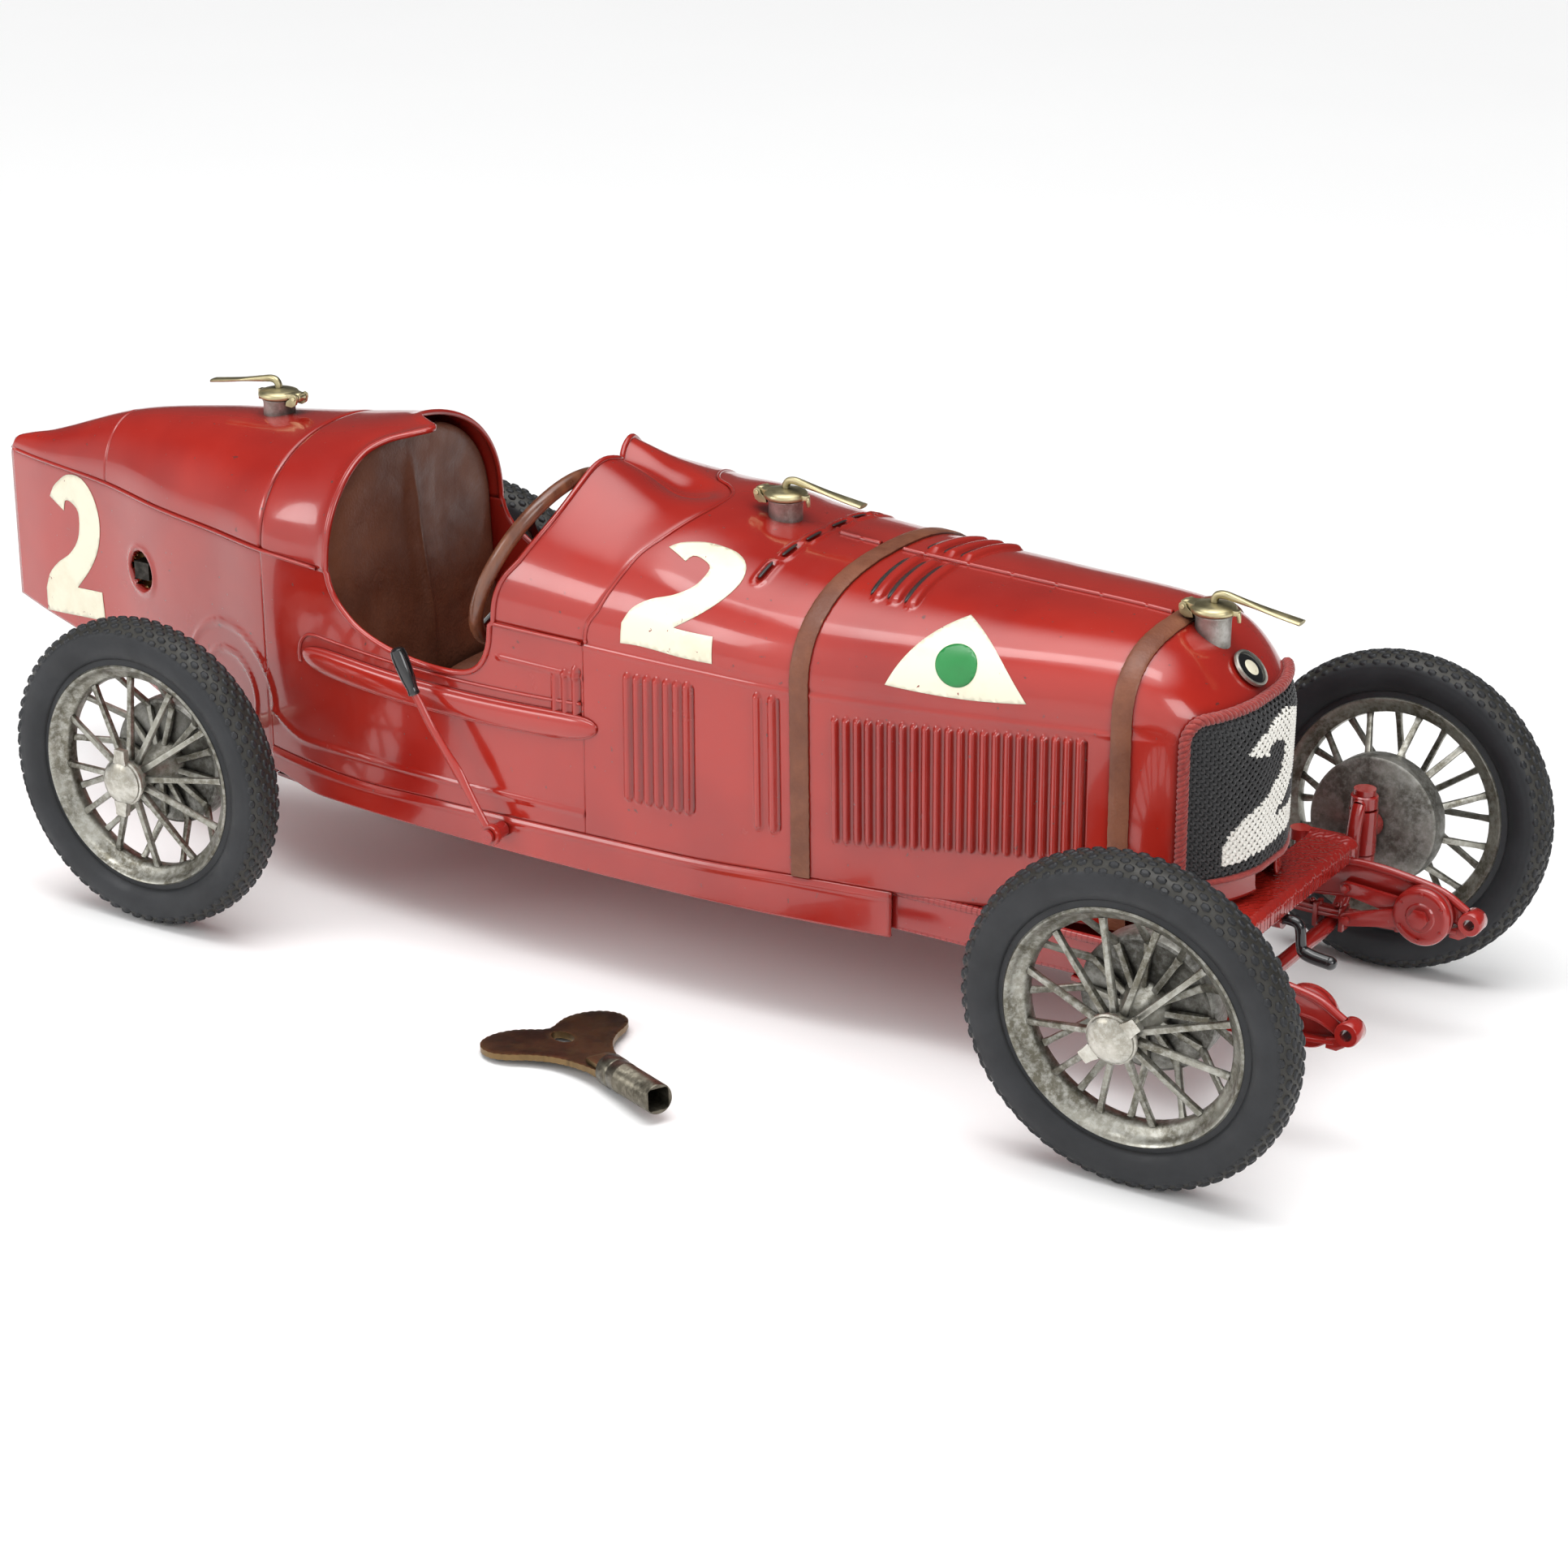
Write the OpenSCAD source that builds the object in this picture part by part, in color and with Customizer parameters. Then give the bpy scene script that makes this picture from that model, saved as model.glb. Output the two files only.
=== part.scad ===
// Clockwork tinplate Grand Prix racing car with a two-seat cockpit and its winding key.
// +X points to the nose, +Y to the car's left, +Z up. The origin is on the ground below mid-length.

/* [Wheels] */
// Outer radius of the tyres
tyre_r = 50; // [48:0.5:50]
// Outer radius of the wheel rims
rim_r = 36; // [34:0.5:37]
// Width of a tyre
tyre_w = 14; // [12:0.5:15]
// Spokes in each of the two layers of a wheel
spoke_n = 12; // [8:1:14]
// Lean of the front wheels, tops outward, in degrees
camber = 5.7; // [0:0.1:7]

/* [Chassis] */
// Distance of the rear axle behind the origin
rear_x = 131; // [128:1:133]
// Distance of the front axle ahead of the origin
front_x = 212; // [211:0.5:213]
// Half the track, centreline to wheel plane
half_track = 91; // [90:0.5:94]
// Distance of a kingpin from the centreline
kingpin_y = 65; // [64.5:0.1:65.5]
// Length of the steering arms
steer_arm = 20; // [19:0.5:21]
// Bottom edge of the chassis side members at the front
rail_z = 36.5; // [36:0.1:37]

/* [Body] */
// Thickness of the sheet panels
sheet = 1; // [0.8:0.1:1.1]
// Height of the skirts' lower edge
skirt_low = 34.6; // [34:0.1:35]
// Diameter of the steering wheel
wheel_d = 66; // [60:1:68]
// Rearmost point of the tail
tail_x = -264; // [-265:0.5:-263]
// Foremost point of the nose
nose_x = 209.5; // [209:0.5:210]

/* [Clockwork] */
// Gear module
gear_m = 1.3; // [1.28:0.005:1.32]
// Teeth of the pinion on the rear axle
axle_teeth = 12; // [12]
// Teeth of the large intermediate wheel
inter_teeth = 36; // [36]
// Teeth of the small intermediate pinion
small_teeth = 20; // [20]
// Teeth of the great wheel on the winding arbor
great_teeth = 40; // [40]
// Teeth of the winding ratchet
ratchet_teeth = 24; // [24]
// Square across the winding arbor
arbor_sq = 6; // [5.6:0.1:6]

/* [Hidden] */

// Running clearance between a pin and its hole
gap = 0.05;
// Half the height of a tyre's section
tyre_band = 7;
front_hub_z = tyre_band + (tyre_r - tyre_band) * cos(camber) - 0.02;
rail_top = 49;
axle_r = 2.5;
red = "#9e2323";
zinc = "#8f8d86";
brass = "#a08a52";
leather = "#5a2a16";
black = "#141414";

// ---- smooth curves through hand-set stations -------------------------------------------------
// Each line is a list of [x, value]. curve() runs a smooth cubic through it.
function seg(t, x, i = 0) = i >= len(t) - 2 || x < t[i + 1][0] ? i : seg(t, x, i + 1);
function tilt(t, i) =
  let (a = max(i - 1, 0), b = min(i + 1, len(t) - 1)) (t[b][1] - t[a][1]) / (t[b][0] - t[a][0]);
function curve(t, x) =
  let (i = seg(t, x), h = t[i + 1][0] - t[i][0], u = (x - t[i][0]) / h)
  (1 + 2 * u) * (1 - u) ^ 2 * t[i][1] + u * (1 - u) ^ 2 * h * tilt(t, i)
  + u ^ 2 * (3 - 2 * u) * t[i + 1][1] + u ^ 2 * (u - 1) * h * tilt(t, i + 1);
function mix(a, b, u) = a + (b - a) * u;

// Half width at the belt, height of the belt, height of the top line, and roundness of the arch
belt_w = [[-264, 1.5], [-245, 7.5], [-208, 17.2], [-176, 28.5], [-146, 36.5], [-120, 44.5],
  [-95, 46.5], [-60, 50.5], [-13, 53], [29, 53.8], [47, 53.8], [81, 53], [130, 46.5], [178, 38.3]];
belt_z = [[-264, 112.5], [-208, 112.8], [-146, 112], [-120, 112], [-95, 110.5], [-60, 109],
  [-13, 108.3], [29, 107.8], [81, 107.5], [130, 108.3], [178, 109]];
top_z = [[-264, 113.5], [-245, 121], [-208, 134], [-176, 139.5], [-146, 142.5], [-120, 145.3],
  [-95, 148.5], [-60, 148.5], [-13, 146], [14, 143.5], [29, 143], [47, 139.5], [81, 136.5],
  [130, 134.5], [178, 132.5], [187, 129.8], [194, 125.5], [202, 118.5], [206.5, 112.8],
  [209.6, 106]];
arch_n = [[-264, 2], [-200, 2.1], [-95, 2.2], [-13, 2.4], [81, 2.45], [130, 2.7], [178, 3],
  [209.6, 2.2]];
// Half width at the lower edge, height of the tail's underside, and height of the sill
foot_w = [[-264, 1.2], [-245, 7], [-208, 15.5], [-176, 26], [-146, 35.5], [-120, 43], [-95, 47.5],
  [-60, 51], [-13, 53], [29, 53.2], [55, 52.5], [81, 50.8], [130, 44.8], [178, 37]];
foot_z = [[-264, 60], [-232, 55.5], [-196, 48], [-180, 45], [-140, 40], [-120, 36.5]];
sill_z = [[-120, 46], [-94, 44.5], [-76, 44.2], [-47, 45.3], [3, 46.6], [55, 47.4], [81, 48.5],
  [130, 49], [178, 49]];
nose_from = 178;

// The nose rounds off in plan and in profile from nose_from to nose_x
function nose_u(x) = min(1, max(0, (x - nose_from) / (nose_x + 0.6 - nose_from)));
function nose_k(x) = sqrt(max(0, 1 - nose_u(x) ^ 2.6));
function half_w(x) = x < nose_from ? curve(belt_w, x) : (38.3 - 0.12 * (x - nose_from)) * nose_k(x);
function half_f(x) = x < nose_from ? curve(foot_w, x) : (37 - 0.12 * (x - nose_from)) * nose_k(x);
function sill(x) = x < nose_from ? curve(sill_z, x) : 49;
function crown(x) = curve(top_z, x);
function belt(x) = x < nose_from ? curve(belt_z, x) : 109 - 5 * nose_u(x) ^ 2;
function round_n(x) = curve(arch_n, x);

function sgn_pow(v, p) = sign(v) * abs(v) ^ p;
// Point of the arch at x: angle 0 is the right belt, 90 the crown, 180 the left belt
function arch_pt(x, a, t = 0, base = undef) =
  let (n = round_n(x), zb = base == undef ? belt(x) : base, w = max(0.4, half_w(x) - t))
  [x, -w * sgn_pow(cos(a), 2 / n), zb + max(0.3, crown(x) - t - zb) * sgn_pow(sin(a), 2 / n)];

// Closed sheet between two equal grids of points, outer and inner
module shell(outer, inner) {
  m = len(outer);
  k = len(outer[0]);
  n = m * k;
  pts = [for (g = [outer, inner]) for (row = g) for (p = row) p];
  function o(i, j) = i * k + j;
  skin = [for (i = [0:m - 2]) for (j = [0:k - 2])
    [o(i, j), o(i, j + 1), o(i + 1, j + 1), o(i + 1, j)]];
  lining = [for (f = skin) [n + f[0], n + f[3], n + f[2], n + f[1]]];
  right = [for (i = [0:m - 2]) [o(i, 0), o(i + 1, 0), n + o(i + 1, 0), n + o(i, 0)]];
  left = [for (i = [0:m - 2])
    [o(i + 1, k - 1), o(i, k - 1), n + o(i, k - 1), n + o(i + 1, k - 1)]];
  back = [for (j = [0:k - 2]) [o(0, j + 1), o(0, j), n + o(0, j), n + o(0, j + 1)]];
  front = [for (j = [0:k - 2])
    [o(m - 1, j), o(m - 1, j + 1), n + o(m - 1, j + 1), n + o(m - 1, j)]];
  polyhedron(points = pts, faces = concat(skin, lining, right, left, back, front));
}

// ---- body panels ---------------------------------------------------------------------------------
arch_steps = 18;
side_steps = 2;
// One row of a full panel: right side from the foot up, over the arch, down the left side.
// A row starts at xr on the right and ends at xl on the left.
function hoop_row(xr, xl, t, foot = undef) =
  let (n = side_steps, zr = foot == undef ? sill(xr) : foot, zl = foot == undef ? sill(xl) : foot)
  concat(
    [for (k = [0:n - 1]) let (v = k / n)
      [xr, -mix(half_f(xr), half_w(xr), v) + t, mix(zr, belt(xr), v)]],
    [for (k = [0:arch_steps]) let (a = 180 * k / arch_steps) arch_pt(mix(xr, xl, k / arch_steps), a, t)],
    [for (k = [0:n - 1]) let (v = 1 - (k + 1) / n)
      [xl, mix(half_f(xl), half_w(xl), v) - t, mix(zl, belt(xl), v)]]);
module hoop_panel(xs_right, xs_left, foot = undef) {
  n = len(xs_right) - 1;
  shell([for (i = [0:n]) hoop_row(xs_right[i], xs_left[i], 0, foot)],
    [for (i = [0:n]) hoop_row(xs_right[i], xs_left[i], sheet, foot)]);
}
function steps(a, b, n) = [for (i = [0:n]) mix(a, b, i / n)];

deck_front = -120;
module tail_deck() {
  xs = steps(tail_x, deck_front, 12);
  color(red) difference() {
    shell([for (x = xs) [for (k = [0:arch_steps]) arch_pt(x, 180 * k / arch_steps)]],
      [for (x = xs) [for (k = [0:arch_steps]) arch_pt(x, 180 * k / arch_steps, sheet)]]);
    translate([rear_filler_x, 0, 120]) cylinder(r = neck_r, h = 40, $fn = 40);
  }
}

// Lower half of the tail, open on top: left belt, down, across the floor, up to the right belt
function tub_row(x, t) =
  let (w = half_w(x), f = half_f(x), zb = belt(x), zf = curve(foot_z, x) + t)
  concat([for (v = [1:-0.34:0.3]) [x, mix(f, w, v) - min(t, w - 0.5), mix(zf, zb, v)]],
    [[x, f - min(t, f - 0.5), zf], [x, 0, zf], [x, -f + min(t, f - 0.5), zf]],
    [for (v = [0.32:0.34:1]) [x, -mix(f, w, v) + min(t, w - 0.5), mix(zf, zb, v)]]);
axle_hole_r = 4.2;
module tail_tub() {
  xs = steps(tail_x, deck_front, 12);
  color(red) difference() {
    shell([for (x = xs) tub_row(x, 0)], [for (x = xs) tub_row(x, sheet)]);
    disc(axle_at, -half_track, half_track, axle_hole_r);
    disc(arbor_at, -half_track, -arbor_end, keyhole_r);
  }
}

// Cockpit opening in side view, from the hoop behind the seats to the cowl
hoop_x = -92;
cowl_z = 108;
shell_front = [9.4, 2];
module opening_outline() {
  polygon([[hoop_x, 200], [hoop_x, 112], [-89, 104], [-79, 95], [-68, 91], [-58, 89], [-37, 89],
    [-29, 93], [-26, 99], [-25, cowl_z], [60, cowl_z], [60, 200]]);
}
module cockpit_shell() {
  n = 12;
  color(red) difference() {
    hoop_panel(steps(deck_front, shell_front[0], n), steps(deck_front, shell_front[1], n));
    translate([0, 80, 0]) rotate([90, 0, 0]) linear_extrude(160) opening_outline();
  }
}

// Raised moulding along each side of the cockpit, with tapered ends
module side_mouldings() {
  xs = steps(-103, 14.5, 16);
  function side_w(x, z) = mix(half_f(x), half_w(x), (z - sill(x)) / (belt(x) - sill(x)));
  function rib_pt(x, b, out) =
    let (u = (x + 44.2) / 58.8, k = sqrt(max(0.02, 1 - u ^ 8)), z = 79 + 2.4 * u ^ 2 + 5 * k * sin(b))
    [x, side_w(x, z) + 0.02 + out * 3 * k * cos(b), z];
  color(red) for (s = [-1, 1]) mirror([0, s > 0 ? 0 : 1, 0])
    shell([for (i = [len(xs) - 1:-1:0]) [for (b = [-80:20:80]) rib_pt(xs[i], b, 1)]],
      [for (i = [len(xs) - 1:-1:0]) [for (b = [-80:20:80]) rib_pt(xs[i], b, 0)]]);
}

// The cowl runs from the scuttle seam back to the raised rim of the opening
function seam_x(y) = curve([[-54, shell_front[0]], [-50, 15], [-44, 22], [-36, 25.5], [-22, 28.6],
  [-10, 29.7], [0, 28.1], [8, 24], [16, 16], [28, 8], [40, 4], [54, shell_front[1]]], y);
function rim_x(y) = curve([[-54, -25], [-48, -16], [-40, -12], [-27, -9.6], [-8, -9.5], [0, -13],
  [12, -17], [24, -20], [40, -23], [54, -25]], y);
function bell(y, c, s) = exp(-((y - c) / s) ^ 2);
function flare(y) = 6 * bell(y, -14, 16) + 7 * bell(y, 14, 10) - 4 * bell(y, 2, 6);
seam_gap = 0.7;
function cowl_pt(u, a, t) =
  let (p0 = arch_pt(0, a, 0, cowl_z), xs = seam_x(p0[1]) - seam_gap, xr = rim_x(p0[1]), x = mix(xr, xs, u),
    p = arch_pt(x, a, t, cowl_z))
  [x, p[1], p[2] + flare(p[1]) * (1 - u) ^ 2];
module cowl() {
  n = 6;
  k = 24;
  color(red) shell([for (i = [0:n]) [for (j = [0:k]) cowl_pt(i / n, 180 * j / k, 0)]],
    [for (i = [0:n]) [for (j = [0:k]) cowl_pt(i / n, 180 * j / k, sheet)]]);
}

scuttle_front = 84;
// The scuttle's rear edge follows the cowl seam over the arch
function scuttle_row(u, t) =
  let (n = side_steps, xr = mix(shell_front[0], scuttle_front, u),
    xl = mix(shell_front[1], scuttle_front, u))
  concat(
    [for (k = [0:n - 1]) let (v = k / n)
      [xr, -mix(half_f(xr), half_w(xr), v) + t, mix(sill(xr), belt(xr), v)]],
    [for (k = [0:arch_steps]) let (a = 180 * k / arch_steps, y = arch_pt(0, a)[1],
        x = mix(seam_x(y), scuttle_front, u)) arch_pt(x, a, t)],
    [for (k = [0:n - 1]) let (v = 1 - (k + 1) / n)
      [xl, mix(half_f(xl), half_w(xl), v) - t, mix(sill(xl), belt(xl), v)]]);
module scuttle() {
  n = 6;
  color(red) difference() {
    shell([for (i = [0:n]) scuttle_row(i / n, 0)], [for (i = [0:n]) scuttle_row(i / n, sheet)]);
    translate([scuttle_filler_x, 0, 120]) cylinder(r = neck_r, h = 40, $fn = 40);
  }
}

cowl_from = 181;
front_strap_x = 177.2;
module bonnet() {
  xs = concat(steps(scuttle_front, front_strap_x, 8), [cowl_from]);
  color(red) hoop_panel(xs, xs);
}

nose_foot = 57;
module radiator_cowl() {
  // Stations close up towards the front, where the plan rounds off
  xs = [for (i = [0:9]) cowl_from + (nose_x - cowl_from) * sin(90 * i / 9)];
  color(red) difference() {
    hoop_panel(xs, xs, nose_foot);
    translate([radiator_filler_x, 0, 110]) cylinder(r = neck_r, h = 40, $fn = 40);
  }
}

// Woven stone guard wrapped round the front of the nose
screen_top = 114;
screen_foot = 65;
screen_from = 197;
function screen_row(z, t) =
  [for (j = [0:16]) let (a = -90 + 180 * j / 16, x = screen_from + (nose_x + 0.4 - screen_from) * cos(a),
    k = x - 0.4, w = mix(half_w(k), half_f(k), (screen_top - z) / 65))
    [x + t * cos(a), w * sign(a) + (0.4 + t) * sin(a), z]];
module radiator_screen() {
  n = 5;
  color(black) shell([for (i = [0:n]) screen_row(mix(screen_foot, screen_top - 4, i / n), 1)],
    [for (i = [0:n]) screen_row(mix(screen_foot, screen_top - 4, i / n), 0.2)]);
}

module nose_badge() {
  color(zinc) translate([201.9, 0, 119.3]) rotate([0, 45, 0]) cylinder(r = 6, h = 1.2, $fn = 40);
}

// Bands of leather over the bonnet's ends, each bent where the panels under it meet
strap_w = 6;
strap_t = 1.05;
strap_foot = 49.1;
rear_strap_x = 81.3;
module strap(x0, joint_x) {
  xs = [x0, joint_x, x0 + strap_w];
  function band(x, t) = hoop_row(x, x, -t, strap_foot);
  color(leather) shell([for (x = xs) band(x, gap + strap_t)], [for (x = xs) band(x, gap)]);
}
module rear_strap() strap(rear_strap_x, scuttle_front);
module front_strap() strap(front_strap_x, cowl_from);

// ---- chassis ----------------------------------------------------------------------------------
skirt_out = 1.2;
skirt_t = 2.4;
skirt_ends = [-119.5, 97];
module side_skirts() {
  xs = steps(skirt_ends[1], skirt_ends[0], 16);
  function edge(x, out) = [for (z = [skirt_low, sill(x) - 0.15]) [x, half_f(x) + out, z]];
  color(red) for (s = [-1, 1]) mirror([0, s > 0 ? 0 : 1, 0])
    shell([for (x = xs) edge(x, skirt_out)], [for (x = xs) edge(x, skirt_out - skirt_t)]);
}
tray_z = 35.2;
tray_front = 200;
// Floor between the skirts, narrower ahead of them to pass between the rails
module undertray() {
  xs = steps(skirt_ends[0] + 0.5, skirt_ends[1] - 1, 10);
  inset = skirt_t - skirt_out + 0.1;
  narrow = rail_y - 3;
  color(red) translate([0, 0, tray_z]) linear_extrude(sheet)
    polygon(concat([for (x = xs) [x, half_f(x) - inset]],
      [[skirt_ends[1], narrow], [tray_front, narrow], [tray_front, -narrow], [skirt_ends[1], -narrow]],
      [for (i = [len(xs) - 1:-1:0]) [xs[i], inset - half_f(xs[i])]]));
}

rail_y = 44.6;
rail_t = 3;
rail_from = 97.2;
eye = [256.3, 39.2];
eye_r = 3.6;
eye_bore = 1.6;
module front_rails() {
  color(red) for (s = [-1, 1]) translate([0, s * rail_y + rail_t / 2, 0]) rotate([90, 0, 0])
    linear_extrude(rail_t) difference() {
      union() {
        polygon([[rail_from + 14, rail_z], [rail_from, rail_z - 1.5], [rail_from, rail_top],
          [206, rail_top], [226, 50.6], [238, 49], [248, 46.8], [eye[0] + 1, eye[1] + eye_r],
          [eye[0] - 3, eye[1] - 3], [246, 40], [232, 40.5], [214, 38], [196, rail_z]]);
        translate(eye) circle(r = eye_r, $fn = 32);
      }
      translate(eye) circle(r = eye_bore, $fn = 32);
    }
}

apron_rear = 203;
apron_x = 217.6;
apron_w = 47.5;
apron_lip = 50.2;
// Bent plate over the rails' front, on a flange above each rail
module front_apron() {
  top = 55.5;
  color(red) {
    translate([0, apron_w, 0]) rotate([90, 0, 0]) linear_extrude(2 * apron_w)
      polygon([[apron_rear, top - sheet], [apron_rear, top], [apron_x - 2, top], [apron_x, top - 2],
        [apron_x, apron_lip], [apron_x - sheet, apron_lip], [apron_x - sheet, top - 2.4],
        [apron_x - 2.4, top - sheet]]);
    for (s = [-1, 1]) translate([0, s * rail_y + sheet / 2, 0]) rotate([90, 0, 0]) linear_extrude(sheet)
      polygon([[apron_rear, top - sheet], [apron_rear, rail_top], [206, rail_top],
        [apron_x - sheet, rail_top + 0.9], [apron_x - sheet, top - 2.4], [apron_x - 2.4, top - sheet]]);
  }
}

beam_t = 5;
beam_z = 28.7;
ear_low = [41, 44.6];
ear_top = [59, 63.4];
module front_axle_beam() {
  post = kingpin_y - 5;
  color(red) for (s = [-1, 1]) mirror([0, s > 0 ? 0 : 1, 0]) difference() {
    union() {
      translate([front_x - beam_t / 2, 0, 0]) rotate([90, 0, 90]) linear_extrude(beam_t)
        polygon([[0, beam_z - 2.5], [44, beam_z - 2.5], [53, 31], [59, 39], [kingpin_y, ear_low[0]],
          [kingpin_y, ear_low[1]], [post, ear_low[1]], [post, ear_top[0]], [kingpin_y, ear_top[0]],
          [kingpin_y, ear_top[1]], [post - 2, ear_top[1]], [post - 4, 58], [post - 5, 46],
          [48, beam_z + 2.5], [0, beam_z + 2.5]]);
      for (e = [ear_low, ear_top]) translate([front_x, kingpin_y, e[0]])
        cylinder(r = 4.2, h = e[1] - e[0], $fn = 32);
    }
    translate([front_x, kingpin_y, 30]) cylinder(r = 2, h = 50, $fn = 32);
  }
}
module kingpins() {
  color(zinc) for (s = [-1, 1]) translate([front_x, s * kingpin_y, ear_low[0] - 1]) {
    cylinder(r = 2, h = ear_top[1] - ear_low[0] + 1, $fn = 32);
    translate([0, 0, ear_top[1] - ear_low[0] + 1]) cylinder(r = 3.4, h = 1.8, $fn = 32);
  }
}

// Leaves arch down from the eye to the beam and up again behind it
spring_w = 2.9;
spring_front = eye[0] - 4;
spring_rise = 2.2;
function leaf_z(x) = beam_z + 2.5 + spring_rise * ((x - front_x) / (spring_front - front_x)) ^ 2;
module leaf_springs() {
  leaf_t = 1.5;
  color(red) for (s = [-1, 1]) translate([0, s * rail_y + spring_w / 2, 0]) rotate([90, 0, 0])
    linear_extrude(spring_w) for (leaf = [0:1]) {
      reach = (spring_front - front_x) * (leaf == 0 ? 0.62 : 1);
      xs = steps(front_x - reach, front_x + reach, 10);
      polygon(concat([for (x = xs) [x, leaf_z(x) + leaf * (leaf_t - 0.1)]],
        [for (i = [10:-1:0]) [xs[i], leaf_z(xs[i]) + (leaf + 1) * leaf_t]]));
    }
}

// Friction dampers: a stack of discs on the inner face of each rail, with two arms
module shock_absorbers() {
  hub = [242.3, 39.4];
  disc_y = rail_y - rail_t / 2 - 6;
  color(red) for (s = [-1, 1]) mirror([0, s > 0 ? 0 : 1, 0]) translate([0, disc_y + 6, 0])
    rotate([90, 0, 0]) {
      translate(hub) cylinder(r = 9, h = 5, $fn = 48);
      translate([hub[0], hub[1], 5]) cylinder(r = 3, h = 1.6, $fn = 24);
      for (tip = [[217.8, 42.5], [219, 33.2]]) translate([0, 0, 1]) linear_extrude(2)
        polygon([[hub[0], hub[1] - 3], [tip[0], tip[1] - 1.8], [tip[0], tip[1] + 1.8],
          [hub[0], hub[1] + 3]]);
    }
}

crank_z = 47.2;
crank_r = 1.6;
module crank_bush() {
  color(red) translate([208, 0, 0]) {
    translate([0, 0, crank_z]) rotate([0, 90, 0]) difference() {
      cylinder(r = 3, h = 8, $fn = 32);
      translate([0, 0, -1]) cylinder(r = crank_r + gap, h = 10, $fn = 32);
    }
    translate([0, -1.5, crank_z + 2.6]) cube([6, 3, 54.5 - crank_z - 2.6]);
  }
}

// ---- cockpit ----------------------------------------------------------------------------------
seat_z = 56;
cushion_t = 14;
seat_gap = 0.6;
seat_w = 43.5;
seat_top = 104;
back_rear = -96.5;
module per_side() for (s = [-1, 1]) mirror([0, s > 0 ? 0 : 1, 0]) children();
module seat_base() {
  floor_z = tray_z + sheet;
  color(black) per_side() translate([-84, seat_gap, floor_z]) cube([42, seat_w, seat_z - floor_z]);
}
module seat_cushion() {
  color(leather) per_side() translate([-84, seat_gap, seat_z]) cube([43, seat_w, cushion_t]);
}
// Padding on the wall behind the seats, arched like the hoop above and fuller below
module seat_back() {
  color(leather) {
    translate([back_rear, 0, 0]) rotate([90, 0, 90]) linear_extrude(4.3)
      polygon(concat([[-44, seat_z]], [for (k = [1:17]) let (p = arch_pt(hoop_x, 10 * k, 2.6)) [p[1], p[2]]],
        [[44, seat_z]]));
    translate([back_rear, -seat_w, seat_z]) cube([12.3, 2 * seat_w, seat_top - seat_z]);
  }
}

dash_x = 2;
column = [-26.4, -22, 120];
rake = 26.15;
module bulkhead() {
  color(black) difference() {
    translate([dash_x, 0, 0]) rotate([90, 0, 90]) linear_extrude(1.2)
      polygon(concat([[-50.5, tray_z + sheet]],
        [for (k = [1:11]) let (p = arch_pt(dash_x, 15 * k, 2.5, cowl_z)) [p[1], p[2]]],
        [[50.5, tray_z + sheet]]));
    on_column() cylinder(r = 3.2, h = 90, $fn = 32);
  }
}
// Frame on the steering column: local +Z points down the column, away from the driver
module on_column() translate(column) rotate([0, 90 + rake, 0]) children();
module column_tube() {
  color(black) on_column() translate([0, 0, 14]) difference() {
    cylinder(r = 3.2, h = 70, $fn = 32);
    translate([0, 0, -1]) cylinder(r = 1.8 + gap, h = 66, $fn = 32);
  }
}

// ---- filler necks and lids --------------------------------------------------------------------
rear_filler_x = -146;
scuttle_filler_x = 47.2;
radiator_filler_x = 189;
neck_bore = 4.4;
neck_r = 5.2;
lid_r = 6.6;
hinge_d = 8.4;
pin_r = 0.8;
// [x, base height, top height, direction of the lever]
rear_filler = [rear_filler_x, 139, 147.6, -1];
scuttle_filler = [scuttle_filler_x, 136, 145.3, 1];
radiator_filler = [radiator_filler_x, 122, 135, 1];
fillers = [rear_filler, scuttle_filler, radiator_filler];
// Frame at a filler's rim with +X towards the lever
module at_filler(f) translate([f[0], 0, f[2]]) rotate([0, 0, f[3] > 0 ? 0 : 180]) children();
module filler_necks() {
  color(zinc) for (f = fillers) at_filler(f) {
    h = f[2] - f[1];
    difference() {
      union() {
        translate([0, 0, -h]) cylinder(r = neck_r, h = h, $fn = 40);
        translate([0, 0, -1.5]) cylinder(r = neck_r + 0.4, h = 1.5, $fn = 40);
      }
      translate([0, 0, -h - 1]) cylinder(r = neck_bore, h = h + 2, $fn = 40);
    }
    for (y = [-3.2, 2]) {
      translate([-hinge_d, y, 1.2]) rotate([-90, 0, 0]) cylinder(r = 1.5, h = 1.2, $fn = 24);
      translate([-hinge_d, y, -1.5]) cube([3.4, 1.2, 1.5]);
      translate([-hinge_d, y, 0]) cube([1.6, 1.2, 1.2]);
    }
    translate([-hinge_d, -3.2, 1.2]) rotate([-90, 0, 0]) cylinder(r = pin_r, h = 6.4, $fn = 24);
  }
}
lever_len = 27;
module filler_lid(f) {
  color(brass) at_filler(f) {
    translate([0, 0, 0.15]) cylinder(r = lid_r, h = 2.2, $fn = 40);
    translate([0, 0, 2.35]) cylinder(r1 = lid_r - 0.8, r2 = 3, h = 1, $fn = 40);
    difference() {
      union() {
        translate([-hinge_d, -1.7, 1.2]) rotate([-90, 0, 0]) cylinder(r = 1.5, h = 3.4, $fn = 24);
        translate([-hinge_d, -1.7, 1.5]) cube([4, 3.4, 0.8]);
      }
      translate([-hinge_d, -2, 1.2]) rotate([-90, 0, 0]) cylinder(r = pin_r + gap, h = 4, $fn = 24);
    }
    translate([0, 0, 3.2]) cylinder(r = 2.2, h = 2.2, $fn = 32);
    translate([0, -1.3, 4]) cube([9, 2.6, 1.1]);
    translate([8.6, -1.5, 4]) rotate([0, 7, 0]) cube([lever_len - 8.6, 3, 1]);
  }
}
module rear_filler_lid() filler_lid(rear_filler);
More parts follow.
